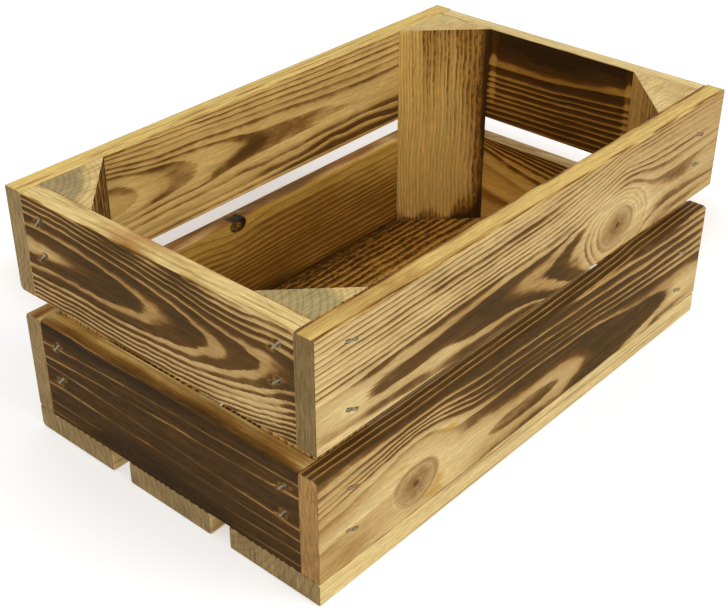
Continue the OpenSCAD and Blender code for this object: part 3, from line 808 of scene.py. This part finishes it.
def make_post(node, side_x, side_y, material):
    """Splits, scorches and brushes one triangular corner post."""
    post = POSTS[node]
    low, high = (np.array(corner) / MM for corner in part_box(node))
    leg = high[0] - low[0]
    count = int(leg / CUT_ACROSS_POST)
    marks_z = cut_marks(low[2], high[2], CUT_ALONG_POST, ends=CUT_END)
    mesh = sawn_block([count, count, len(marks_z) - 1])
    steps = np.rint(read_points(mesh)).astype(int)
    s = steps[:, 0] / count if side_x < 0 else 1.0 - steps[:, 0] / count
    t = steps[:, 1] / count if side_y < 0 else 1.0 - steps[:, 1] / count
    at_end = (steps[:, 2] == 0) | (steps[:, 2] == len(marks_z) - 1)
    s, t = (np.where(at_end, 0.008 + 0.984 * value, value) for value in (s, t))
    p, q = (s - 0.5 * s * t) * leg, (t - 0.5 * s * t) * leg
    z = marks_z[steps[:, 2]]
    corner_x = low[0] if side_x < 0 else high[0]
    corner_y = low[1] if side_y < 0 else high[1]
    points = np.stack([corner_x - side_x * p, corner_y - side_y * q, z], axis=1)
    write_points(mesh, points * MM)
    normals = read_points(mesh, "normal")
    seed = post["seed"]
    u = z - low[2]
    radius = np.hypot(p - post["pith"][0], q - post["pith"][1])
    radius += drift(u, p, q, seed, 90, 0.5) + drift(u, 4 * p, 4 * q, seed + 1, 24, 0.18)
    radii = ring_radii(post["rings"])
    rings = np.interp(radius, radii, np.arange(-1, len(radii) - 1))
    inner = (p + q > leg * 0.995).astype(float)
    sawn = (np.abs(normals[:, 2]) > 0.6).astype(float)
    chance = np.random.default_rng(seed + 5).uniform(-1.0, 1.0, KINDS_OF_RING)
    burn = drawn(post["scorch"], u, q * math.sqrt(2.0)) + drift(u, p, q, seed + 7, 80, 0.06)
    burn += 0.16 * chance[np.floor(rings).astype(int) % KINDS_OF_RING]
    burn = np.clip(burn * inner + 0.35 * (1.0 - inner), 0.0, 2.0)
    stain_p, stain_q, stain_at, stain_soft = post["stain"]
    reached = stain_p * p + stain_q * q + drift(p, q, q, seed + 11, 30, 1.5)
    stain = smoothstep(reached, stain_at - stain_soft, stain_at + stain_soft)
    hard = np.minimum(burn, 1.0)
    plain, added = POST_GROOVES
    relief = (plain + added * hard) * groove_share(rings, hard) * inner * (1.0 - 0.6 * sawn)
    write_points(mesh, (points - normals * relief[:, None]) * MM)
    nothing = np.zeros_like(u)
    for name, values in (("rings", rings), ("burn", burn), ("heart", nothing + NO_KNOT), ("sawn", sawn),
                         ("torn", nothing), ("narrow", nothing), ("resin", nothing), ("stain", stain)):
        write_share(mesh, name, values)
    finish_piece("pine_" + node, node, mesh, material)


# Materials

class Wiring:
    """Adds nodes to a tree, sets their inputs and wires them."""

    def __init__(self, tree):
        self.tree = tree

    def add(self, kind, inputs=None, **settings):
        """A new node, with its settings and its inputs as values or as sockets to wire in."""
        node = self.tree.nodes.new(kind)
        node.location = (180 * (len(self.tree.nodes) % 12), -220 * (len(self.tree.nodes) // 12))
        for name, value in settings.items():
            setattr(node, name, value)
        for socket, value in (inputs or {}).items():
            if isinstance(value, bpy.types.NodeSocket):
                self.tree.links.new(value, node.inputs[socket])
            else:
                node.inputs[socket].default_value = value
        return node

    def share(self, name):
        """The number that the mesh stores under a name."""
        return self.add("ShaderNodeAttribute", attribute_name=name, attribute_type="GEOMETRY").outputs["Fac"]

    def math(self, operation, a, b=0.0):
        """One step of arithmetic."""
        return self.add("ShaderNodeMath", {0: a, 1: b}, operation=operation).outputs[0]

    def times(self, a, b):
        """The product of two values."""
        return self.math("MULTIPLY", a, b)

    def plus(self, a, b):
        """The sum of two values."""
        return self.math("ADD", a, b)

    def rise(self, value, low, high, start=0.0, end=1.0, kind="SMOOTHSTEP"):
        """A value carried smoothly from one range to another, and held at its ends."""
        return self.add("ShaderNodeMapRange", {0: value, 1: low, 2: high, 3: start, 4: end},
                        interpolation_type=kind).outputs[0]

    def ramp(self, value, low, high, start, end):
        """A value carried from one range to another in a straight line, and held at its ends."""
        return self.rise(value, low, high, start, end, "LINEAR")

    def mix(self, factor, a, b, blend="MIX"):
        """Two colours mixed."""
        return self.add("ShaderNodeMix", {0: factor, 6: a, 7: b}, data_type="RGBA",
                        blend_type=blend).outputs[2]

    def noise(self, vector, scale, detail, roughness):
        """Noise from 0 to 1."""
        return self.add("ShaderNodeTexNoise", {"Vector": vector, "Scale": scale, "Detail": detail,
                                               "Roughness": roughness}).outputs["Fac"]


def colour(value):
    """A colour with full alpha."""
    return (*value[:3], 1.0)


# Tone of outer sides in bright light, where the board's tint was chosen for its inner side and holds painted
# shade
OUTER_TONE = (0.96, 0.91, 0.82)


def scorched_pine(name, grain, tones, wood, end_tone):
    """Scorched pine whose year rings, char and knots follow what the mesh stores along its grain."""
    tint, edge_tint = wood["tint"], wood.get("edge_tint", (1, 1, 1))
    end_tint, contrast = wood.get("end", (1, 1, 1)), wood.get("contrast", 1.0)
    material = bpy.data.materials.new(name)
    material.use_nodes = True
    tree = material.node_tree
    tree.nodes.clear()
    w = Wiring(tree)
    place = w.add("ShaderNodeTexCoord").outputs["Object"]

    def scaled(scale):
        return w.add("ShaderNodeVectorMath", {0: place, 1: scale}, operation="MULTIPLY").outputs[0]

    def stretched(share):
        scale = [1.0, 1.0, 1.0]
        scale[grain] = share
        return scaled(scale)

    def tinted(tone, share=tint):
        return colour([c * t for c, t in zip(tone, share)])

    end_pale = tinted(end_tone, end_tint)
    end_dark = tinted(end_pale, (0.60, 0.56, 0.50))
    if "stain" in wood:
        warmer = w.share("stain")
        end_pale = w.mix(warmer, end_pale, tinted(end_tone, (1.04, 1.03, 1.02)))
        end_dark = w.mix(warmer, end_dark, tinted(end_tone, (0.66, 0.52, 0.34)))

    # Noises, most of them drawn out along the grain
    long_grain = stretched(0.03)
    streak = w.noise(long_grain, 480.0, 3.0, 0.6)
    fibre = w.noise(long_grain, 1300.0, 3.0, 0.6)
    thread = w.noise(stretched(0.06), 2300.0, 2.0, 0.6)
    cloud = w.noise(stretched(0.25), 45.0, 3.0, 0.6)
    smoke = w.noise(stretched(0.45), 150.0, 3.0, 0.6)

    # Year rings, as bands that are wider where the flame hit harder
    heart = w.share("heart")
    fray = w.ramp(fibre, 0.3, 0.7, -0.045, 0.045)
    ragged = w.times(fray, w.rise(heart, 1.0, 1.95, 0.1, 1.0))
    rings = w.plus(w.share("rings"), ragged)
    phase = w.math("FRACT", rings)
    chance = w.add("ShaderNodeTexWhiteNoise", {"W": w.math("FLOOR", rings)},
                   noise_dimensions="1D").outputs["Value"]
    stored = w.share("burn")
    uneven = w.plus(w.ramp(cloud, 0.25, 0.75, -0.14, 0.14), w.ramp(smoke, 0.3, 0.7, -0.06, 0.06))
    scorch = w.plus(stored, w.times(uneven, w.rise(stored, 0.0, 0.5, 0.35, 1.0)))
    burn = w.math("MAXIMUM", w.math("MINIMUM", scorch, 1.0), 0.0)
    width = w.ramp(scorch, 0.0, 1.2, 0.15, 0.93)
    soft = w.ramp(burn, 0.0, 1.0, 0.05, 0.105)
    start = w.math("SUBTRACT", 1.0, width)
    toast = w.rise(phase, w.times(start, 0.2), start)
    halo = w.times(w.rise(phase, w.math("SUBTRACT", start, w.times(soft, 1.5)),
                          w.plus(start, w.times(soft, 0.6))), w.rise(phase, 0.955, 1.0, 1.0, 0.0))
    core = w.times(w.rise(phase, start, w.plus(start, w.times(soft, 2.4))),
                   w.rise(phase, 0.90, 0.975, 1.0, 0.0))

    # Faces
    pale = w.mix(w.rise(burn, 0.12, 0.95), tinted(tones.pale), tinted(tones.tan))
    if "browned" in wood:
        pale = w.mix(w.share("browned"), pale, tinted(tones.tan))
    pale = w.mix(w.times(toast, 0.36), pale, tinted(tones.toast))
    brown = w.mix(w.rise(burn, 0.10, 0.55), tinted(tones.line), tinted(tones.brown))
    dark = w.mix(w.rise(burn, 0.35, 0.98), brown, tinted(tones.char))
    dark = w.mix(w.rise(w.plus(smoke, streak), 0.92, 1.30, 0.0, 0.50), dark, tinted(tones.brown))
    faint = w.times(w.ramp(chance, 0.0, 1.0, 0.18, 0.95), w.rise(smoke, 0.3, 0.6, 0.5, 1.0))
    faint = w.times(faint, w.rise(burn, 0.0, 0.20, 0.08, 1.0))
    faint = w.times(faint, w.rise(heart, 1.0, 1.95, 0.45, 1.0))
    strength = w.math("MAXIMUM", faint, w.rise(burn, 0.20, 0.65))
    knot = w.rise(heart, 0.80, 1.06, 1.0, 0.0)
    strength = w.times(strength, w.ramp(knot, 0.0, 1.0, contrast, 0.42))
    if "stain" in wood:
        dash = w.noise(stretched(0.35), 520.0, 2.0, 0.6)
        strength = w.times(strength, w.rise(dash, 0.40, 0.58, 0.20, 1.20))
    face = w.mix(w.times(halo, strength), pale, brown)
    face = w.mix(w.times(core, strength), face, dark)
    charred = w.mix(w.rise(w.plus(fibre, smoke), 0.88, 1.35, 0.0, 0.60), tinted(tones.char),
                    tinted(tones.brown))
    charred = w.mix(w.rise(scorch, 1.2, 1.8), charred, tinted(tones.char, [0.55 * t for t in tint]))
    face = w.mix(w.rise(scorch, 0.92, 1.65, 0.0, 0.96), face, charred)

    if "crust" in wood:
        flake = w.noise(stretched(0.45), 480.0, 2.0, 0.6)
        face = w.mix(w.times(w.rise(flake, 0.53, 0.64), wood["crust"]), face, tinted(tones.toast))
        face = w.mix(w.times(w.rise(flake, 0.36, 0.46, 1.0, 0.0), wood["crust"]), face,
                     tinted(tones.char, [0.6 * t for t in tint]))

    # Boards inside the crate: the tint paints their inner side with shade, and their outer side is brought
    # back to the tone in bright light
    if "inner" in wood:
        lighter = colour([plain / t for plain, t in zip(OUTER_TONE, tint)])
        face = w.mix(w.share("reverse"), face, w.mix(1.0, face, lighter, "MULTIPLY"))

    # Narrow edges
    edge_line = w.noise(stretched(0.012), 620.0, 2.0, 0.6)
    edge = w.mix(w.rise(burn, 0.08, 0.56), tinted(tones.edge, edge_tint), tinted(tones.toast, edge_tint))
    edge = w.mix(w.rise(edge_line, 0.52, 0.64, 0.0, 0.48), edge, tinted(tones.line, edge_tint))
    band = w.times(core, w.rise(burn, 0.0, 0.5, 0.10, 0.55))
    edge = w.mix(band, edge, tinted(tones.line, edge_tint))
    edge = w.mix(w.rise(burn, 0.42, 0.95), edge, tinted(tones.char, edge_tint))
    narrow = w.times(w.rise(w.share("narrow"), 0.25, 0.75), w.rise(burn, 0.70, 0.90, 1.0, 0.0))
    surface = w.mix(narrow, face, edge)

    # Fine grain
    grain_light = w.plus(w.ramp(streak, 0.3, 0.7, -0.13, 0.12), w.ramp(fibre, 0.3, 0.7, -0.16, 0.15))
    grain_light = w.plus(grain_light, w.ramp(thread, 0.3, 0.7, -0.19, 0.18))
    grain_light = w.times(grain_light, w.rise(scorch, 0.5, 1.1, 1.0, 1.35))
    surface = w.mix(1.0, surface, w.plus(grain_light, 1.0), "MULTIPLY")

    # Sawn ends
    speckle = w.noise(place, 2200.0, 3.0, 0.7)
    pores = w.noise(scaled((900.0, 900.0, 120.0)), 1.0, 2.0, 0.6)
    cut_ring = w.times(w.rise(phase, 0.45, 0.9), w.rise(phase, 0.93, 1.0, 1.0, 0.0))
    cut = w.mix(w.times(cut_ring, 0.45), end_pale, end_dark)
    cut = w.mix(w.rise(cloud, 0.35, 0.7, 0.0, 0.5), cut, end_dark)
    saw = w.noise(scaled((60.0, 900.0, 900.0) if grain == 2 else (900.0, 900.0, 70.0)), 1.0, 2.0, 0.5)
    coarse = w.plus(speckle, pores)
    cut = w.mix(1.0, cut, w.ramp(coarse, 0.6, 1.4, 0.62, 1.30), "MULTIPLY")
    cut = w.mix(1.0, cut, w.ramp(saw, 0.35, 0.65, 0.78, 1.16), "MULTIPLY")
    cut = w.mix(w.rise(scorch, 0.85, 1.6, 0.0, 0.8), cut, colour(tones.char))
    sawn = w.rise(w.share("sawn"), 0.35, 0.65)
    surface = w.mix(sawn, surface, cut)

    # Knots, resin and bark
    mottle = w.noise(place, 150.0, 2.0, 0.5)
    disc = w.times(w.rise(heart, 0.30, 0.92, 0.92, 0.42), w.rise(heart, 0.86, 1.06, 1.0, 0.0))
    disc = w.times(disc, w.rise(mottle, 0.35, 0.65, 0.72, 1.0))
    surface = w.mix(disc, surface, w.mix(0.25, tinted(tones.knot), surface, "MULTIPLY"))
    rim = w.times(w.rise(heart, 0.78, 0.94), w.rise(heart, 0.95, 1.08, 1.0, 0.0))
    one_side = w.noise(place, 38.0, 1.0, 0.4)
    rim = w.times(rim, w.rise(one_side, 0.42, 0.58, 0.05, 0.55))
    surface = w.mix(rim, surface, tinted(tones.line))
    surface = w.mix(w.rise(heart, 0.07, 0.22, 0.85, 0.0), surface, tinted(tones.char))
    surface = w.mix(w.times(w.share("resin"), 0.75), surface, colour(tones.resin))
    if "bark" in wood:
        ring = w.times(w.rise(heart, 0.20, 0.50), w.rise(heart, 1.02, 1.25, 1.0, 0.0))
        ring = w.times(ring, w.rise(mottle, 0.30, 0.50, 0.55, 1.0))
        ring = w.times(ring, wood["bark"])
        surface = w.mix(ring, surface, tinted(tones.char, (0.30, 0.24, 0.18)))

    # Torn wood in the pits round the staples, and painted shade in the hollow next to the wire
    torn = w.share("torn")
    splinter = w.noise(stretched(0.3), 900.0, 2.0, 0.6)
    raw = w.times(w.rise(torn, 0.05, 0.40), w.rise(splinter, 0.40, 0.62, 0.15, 0.80))
    surface = w.mix(raw, surface, colour(tones.raw))
    # Painted shade: the hollow next to the wire is coloured dark like char
    pit_shade = w.times(w.rise(torn, 0.38, 0.80), w.rise(splinter, 0.35, 0.65, 0.95, 0.55))
    surface = w.mix(pit_shade, surface, colour(tones.char))

    # Roughness and fine bumps
    grit = w.plus(w.times(thread, 0.6), w.times(fibre, 0.8))
    height = w.math("SUBTRACT", grit, w.times(halo, 0.35))
    bump = w.add("ShaderNodeBump", {"Strength": 0.55, "Distance": 0.0003, "Height": height})
    roughness = w.ramp(w.plus(halo, fibre), 0.2, 1.6, 0.50, 0.74)
    shader = w.add("ShaderNodeBsdfPrincipled", {"Base Color": surface, "Roughness": roughness,
                                                "Normal": bump.outputs["Normal"], "Specular IOR Level": 0.12})
    output = w.add("ShaderNodeOutputMaterial")
    tree.links.new(shader.outputs["BSDF"], output.inputs["Surface"])
    return material


def staple_steel(tones):
    """Dull galvanised wire with a little rust."""
    material = bpy.data.materials.new("staple wire")
    material.use_nodes = True
    tree = material.node_tree
    tree.nodes.clear()
    w = Wiring(tree)
    place = w.add("ShaderNodeTexCoord").outputs["Object"]
    spots = w.noise(place, 700.0, 4.0, 0.65)
    wear = w.noise(place, 2600.0, 2.0, 0.6)
    surface = w.mix(w.rise(spots, 0.48, 0.60), colour(tones.steel), colour(tones.rust))
    shine = w.ramp(w.plus(spots, wear), 0.6, 1.4, 0.28, 0.62)
    bump = w.add("ShaderNodeBump", {"Strength": 0.3, "Distance": 0.0001, "Height": wear})
    shader = w.add("ShaderNodeBsdfPrincipled", {"Base Color": surface, "Metallic": 0.5, "Roughness": shine,
                                                "Normal": bump.outputs["Normal"]})
    output = w.add("ShaderNodeOutputMaterial")
    tree.links.new(shader.outputs["BSDF"], output.inputs["Surface"])
    return material


# Settings

class CrateTones(bpy.types.PropertyGroup):
    """Tones of the scorched wood and the staples."""

    pale: bpy.props.FloatVectorProperty(
        name="Unburnt wood", description="Light bands where the flame hardly reached",
        subtype="COLOR", size=3, min=0, max=1, default=srgb(0.915, 0.80, 0.56))
    tan: bpy.props.FloatVectorProperty(
        name="Toasted wood", description="Light bands between heavily scorched ones",
        subtype="COLOR", size=3, min=0, max=1, default=srgb(0.72, 0.57, 0.33))
    toast: bpy.props.FloatVectorProperty(
        name="Late wood", description="Darker side of each light band",
        subtype="COLOR", size=3, min=0, max=1, default=srgb(0.70, 0.50, 0.25))
    edge: bpy.props.FloatVectorProperty(
        name="Board edges", description="Narrow edges, which the flame passed over",
        subtype="COLOR", size=3, min=0, max=1, default=srgb(0.93, 0.82, 0.56))
    line: bpy.props.FloatVectorProperty(
        name="Ring lines", description="Thin ring lines where the flame hardly reached",
        subtype="COLOR", size=3, min=0, max=1, default=srgb(0.57, 0.40, 0.18))
    brown: bpy.props.FloatVectorProperty(
        name="Brown bands", description="Scorched bands of middle depth",
        subtype="COLOR", size=3, min=0, max=1, default=srgb(0.43, 0.295, 0.13))
    char: bpy.props.FloatVectorProperty(
        name="Char", description="Darkest scorched bands",
        subtype="COLOR", size=3, min=0, max=1, default=srgb(0.315, 0.226, 0.098))
    knot: bpy.props.FloatVectorProperty(
        name="Knots", description="Hard wood of the knots",
        subtype="COLOR", size=3, min=0, max=1, default=srgb(0.58, 0.42, 0.21))
    resin: bpy.props.FloatVectorProperty(
        name="Resin", description="Yellow streaks of resin near the knots",
        subtype="COLOR", size=3, min=0, max=1, default=srgb(0.82, 0.62, 0.20))
    raw: bpy.props.FloatVectorProperty(
        name="Torn wood", description="Fresh wood in the pits around the staples",
        subtype="COLOR", size=3, min=0, max=1, default=srgb(0.64, 0.47, 0.24))
    steel: bpy.props.FloatVectorProperty(
        name="Staples", description="Bare wire of the staples",
        subtype="COLOR", size=3, min=0, max=1, default=srgb(0.64, 0.61, 0.50))
    rust: bpy.props.FloatVectorProperty(
        name="Staple rust", description="Stains on the wire of the staples",
        subtype="COLOR", size=3, min=0, max=1, default=srgb(0.33, 0.27, 0.18))
    end_board: bpy.props.FloatVectorProperty(
        name="Board ends", description="End grain of the boards and slats",
        subtype="COLOR", size=3, min=0, max=1, default=srgb(0.68, 0.57, 0.38))
    end_post: bpy.props.FloatVectorProperty(
        name="Post ends", description="End grain of the posts",
        subtype="COLOR", size=3, min=0, max=1, default=srgb(0.93, 0.82, 0.56))


class CrateSettings(bpy.types.PropertyGroup):
    """Fineness of the boards and the light of the stage."""

    ridge_spacing: bpy.props.FloatProperty(
        name="Ridge spacing", description="Distance between cuts across a board's face, in millimetres",
        default=0.70, min=0.4, max=3.0)
    slat_spacing: bpy.props.FloatProperty(
        name="Slat ridge spacing", description="Distance between cuts across a floor slat, in millimetres",
        default=0.85, min=0.4, max=3.0)
    key_power: bpy.props.FloatProperty(
        name="Key light", description="Power of the large light at the front right",
        subtype="POWER", default=26.0, min=0.0)
    fill_power: bpy.props.FloatProperty(
        name="Fill light", description="Power of the weak light at the left",
        subtype="POWER", default=6.0, min=0.0)
    sky: bpy.props.FloatProperty(
        name="Sky", description="Strength of the even light from all round", default=0.55, min=0.0)
    floor_colour: bpy.props.FloatVectorProperty(
        name="Floor", description="Colour of the pale floor",
        subtype="COLOR", size=3, min=0, max=1, default=(0.93, 0.93, 0.93))


# The camera as fitted to the photograph, its place in metres, its direction, lens and sensor in millimetres
CAMERA_PLACE = (-0.57555, -0.48607, 0.52942)
CAMERA_VIEW = (0.63141601, 0.55692769, -0.53957887)
CAMERA_LENS = 65.53
CAMERA_SENSOR = 36.0

# Half the width of the floor and the gap that keeps it clear of the slats, in metres
FLOOR_REACH = 6.0
FLOOR_GAP = 0.0002

# Where the floor darkens into a painted shadow under and behind the crate and clears again along x and y, in
# metres, and its glow outside and inside that shadow
SHADE_X = ((-0.14, -0.06), (0.32, 0.40))
SHADE_Y = ((-0.12, -0.02), (0.27, 0.34))
GLOW = (0.40, 0.16)
# Warm tone of the glow inside that painted shadow, a painted bounce light from the wood
SHADE_TONE = (1.0, 0.75, 0.5, 1.0)

# Where the lamps point, and their places, in metres
MIDDLE = (0.0, 0.0, 0.07)
KEY_PLACE = (0.45, -1.90, 2.10)
KEY_SIZE = 1.8
FILL_PLACE = (-1.6, -0.5, 1.0)
FILL_SIZE = 1.4


# Operators

def pine_of(node, grain, tones, wood, end_tone):
    """The material of one board or post, with its own tint."""
    return scorched_pine("scorched " + node.replace("_", " "), grain, tones, wood, end_tone)


def board_materials(tones, nodes, grain):
    """One material for each board."""
    return {node: pine_of(node, grain, tones, WOOD[node], tones.end_board) for node in nodes}


class CRATE_OT_stage(bpy.types.Operator):
    """Sets up the pale floor, the soft lights and the camera."""

    bl_idname = "crate.stage"
    bl_label = "Stage"

    def execute(self, context):
        settings = context.scene.crate_settings
        scene = context.scene
        scene.view_settings.view_transform = "Standard"

        floor = bmesh.new()
        bmesh.ops.create_grid(floor, x_segments=1, y_segments=1, size=FLOOR_REACH)
        bmesh.ops.translate(floor, verts=floor.verts, vec=(0.0, 0.0, -FLOOR_GAP))
        mesh = bpy.data.meshes.new("floor")
        floor.to_mesh(mesh)
        floor.free()
        ground = bpy.data.objects.new("floor", mesh)
        scene.collection.objects.link(ground)
        material = bpy.data.materials.new("pale floor")
        material.use_nodes = True
        tree = material.node_tree
        tree.nodes.clear()
        w = Wiring(tree)
        path = w.add("ShaderNodeLightPath")
        matt = w.add("ShaderNodeBsdfDiffuse", {"Color": colour(settings.floor_colour)})
        where = w.add("ShaderNodeSeparateXYZ", {0: w.add("ShaderNodeTexCoord").outputs["Object"]})
        # Painted shadow: the floor glows less and more warmly under and behind the crate
        shade = 1.0
        for side, ((darkens, dark), (clears, clear)) in (("X", SHADE_X), ("Y", SHADE_Y)):
            shade = w.times(shade, w.rise(where.outputs[side], darkens, dark))
            shade = w.times(shade, w.rise(where.outputs[side], clears, clear, 1.0, 0.0))
        bright = w.ramp(shade, 0.0, 1.0, *GLOW)
        tone = w.mix(shade, (1.0, 1.0, 1.0, 1.0), SHADE_TONE)
        seen = w.times(path.outputs["Is Camera Ray"], bright)
        glow = w.add("ShaderNodeEmission", {"Color": tone, "Strength": seen})
        both = w.add("ShaderNodeAddShader", {0: matt.outputs[0], 1: glow.outputs[0]})
        output = w.add("ShaderNodeOutputMaterial")
        tree.links.new(both.outputs[0], output.inputs["Surface"])
        mesh.materials.append(material)

        world = bpy.data.worlds.new("studio")
        scene.world = world
        world.use_nodes = True
        tree = world.node_tree
        tree.nodes.clear()
        w = Wiring(tree)
        path = w.add("ShaderNodeLightPath")
        seen = w.math("MAXIMUM", path.outputs["Is Camera Ray"], path.outputs["Is Glossy Ray"])
        seen = w.math("MAXIMUM", seen, path.outputs["Is Transmission Ray"])
        strength = w.ramp(seen, 0.0, 1.0, settings.sky, 1.0)
        sky = w.add("ShaderNodeBackground", {"Color": (1.0, 1.0, 1.0, 1.0), "Strength": strength})
        output = w.add("ShaderNodeOutputWorld")
        tree.links.new(sky.outputs[0], output.inputs["Surface"])

        for name, place, power, size in (("key", KEY_PLACE, settings.key_power, KEY_SIZE),
                                         ("fill", FILL_PLACE, settings.fill_power, FILL_SIZE)):
            lamp = bpy.data.lights.new(name, "AREA")
            lamp.energy, lamp.size = power, size
            light = bpy.data.objects.new(name, lamp)
            light.location = place
            view = Vector(MIDDLE) - Vector(place)
            light.rotation_euler = view.to_track_quat("-Z", "Y").to_euler()
            scene.collection.objects.link(light)

        lens = bpy.data.cameras.new("camera")
        lens.sensor_width = CAMERA_SENSOR
        lens.lens = CAMERA_LENS
        camera = bpy.data.objects.new("camera", lens)
        camera.location = CAMERA_PLACE
        camera.rotation_euler = Vector(CAMERA_VIEW).to_track_quat("-Z", "Y").to_euler()
        scene.collection.objects.link(camera)
        scene.camera = camera
        return {"FINISHED"}


class CRATE_OT_side_boards(bpy.types.Operator):
    """Makes the four long boards of the front and the back."""

    bl_idname = "crate.side_boards"
    bl_label = "Side boards"

    def execute(self, context):
        settings, tones = context.scene.crate_settings, context.scene.crate_tones
        nodes = ("front_upper_board", "front_lower_board", "back_upper_board", "back_lower_board")
        for node, material in board_materials(tones, nodes, 0).items():
            make_board(node, 0, 2, 1, -1, settings.ridge_spacing, material)
        return {"FINISHED"}


class CRATE_OT_end_boards(bpy.types.Operator):
    """Makes the four short boards of the left and the right end."""

    bl_idname = "crate.end_boards"
    bl_label = "End boards"

    def execute(self, context):
        settings, tones = context.scene.crate_settings, context.scene.crate_tones
        nodes = ("left_upper_board", "left_lower_board", "right_upper_board", "right_lower_board")
        for node, material in board_materials(tones, nodes, 1).items():
            make_board(node, 1, 2, 0, -1, settings.ridge_spacing, material)
        return {"FINISHED"}


class CRATE_OT_floor_slats(bpy.types.Operator):
    """Makes the three slats of the floor."""

    bl_idname = "crate.floor_slats"
    bl_label = "Floor slats"

    def execute(self, context):
        settings, tones = context.scene.crate_settings, context.scene.crate_tones
        for node, material in board_materials(tones, ("front_slat", "middle_slat", "back_slat"), 0).items():
            make_board(node, 0, 1, 2, 1, settings.slat_spacing, material)
        return {"FINISHED"}


class CRATE_OT_corner_posts(bpy.types.Operator):
    """Makes the four triangular corner posts."""

    bl_idname = "crate.corner_posts"
    bl_label = "Corner posts"

    def execute(self, context):
        tones = context.scene.crate_tones
        sides = {"front_left_post": (-1, -1), "front_right_post": (1, -1),
                 "back_left_post": (-1, 1), "back_right_post": (1, 1)}
        for node, (side_x, side_y) in sides.items():
            make_post(node, side_x, side_y, pine_of(node, 2, tones, POSTS[node], tones.end_post))
        return {"FINISHED"}


class CRATE_OT_staples(bpy.types.Operator):
    """Gives the staples their dull wire."""

    bl_idname = "crate.staples"
    bl_label = "Staples"

    def execute(self, context):
        wire = staple_steel(context.scene.crate_tones)
        for node in ("front_staples", "back_staples", "left_staples", "right_staples", "bottom_staples"):
            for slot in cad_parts[node].material_slots:
                slot.material = wire
        return {"FINISHED"}


class CRATE_PT_panel(bpy.types.Panel):
    """Lists the crate's settings and its steps."""

    bl_idname = "CRATE_PT_panel"
    bl_label = "Scorched pine crate"
    bl_space_type = "VIEW_3D"
    bl_region_type = "UI"
    bl_category = "Crate"

    def draw(self, context):
        layout = self.layout
        for group in (context.scene.crate_settings, context.scene.crate_tones):
            for name in group.__annotations__:
                layout.prop(group, name)
        for step in STEPS:
            layout.operator(step.bl_idname)


STEPS = (CRATE_OT_stage, CRATE_OT_side_boards, CRATE_OT_end_boards, CRATE_OT_floor_slats,
         CRATE_OT_corner_posts, CRATE_OT_staples)
CLASSES = (CrateTones, CrateSettings) + STEPS + (CRATE_PT_panel,)


def register():
    """Makes the classes and the settings known."""
    for part in CLASSES:
        bpy.utils.register_class(part)
    bpy.types.Scene.crate_tones = bpy.props.PointerProperty(type=CrateTones)
    bpy.types.Scene.crate_settings = bpy.props.PointerProperty(type=CrateSettings)


def unregister():
    """Takes them out again."""
    del bpy.types.Scene.crate_settings
    del bpy.types.Scene.crate_tones
    for part in reversed(CLASSES):
        bpy.utils.unregister_class(part)


def main():
    """Builds the whole crate."""
    register()
    bpy.ops.crate.stage()
    bpy.ops.crate.side_boards()
    bpy.ops.crate.end_boards()
    bpy.ops.crate.floor_slats()
    bpy.ops.crate.corner_posts()
    bpy.ops.crate.staples()


if __name__ == "__main__":
    main()
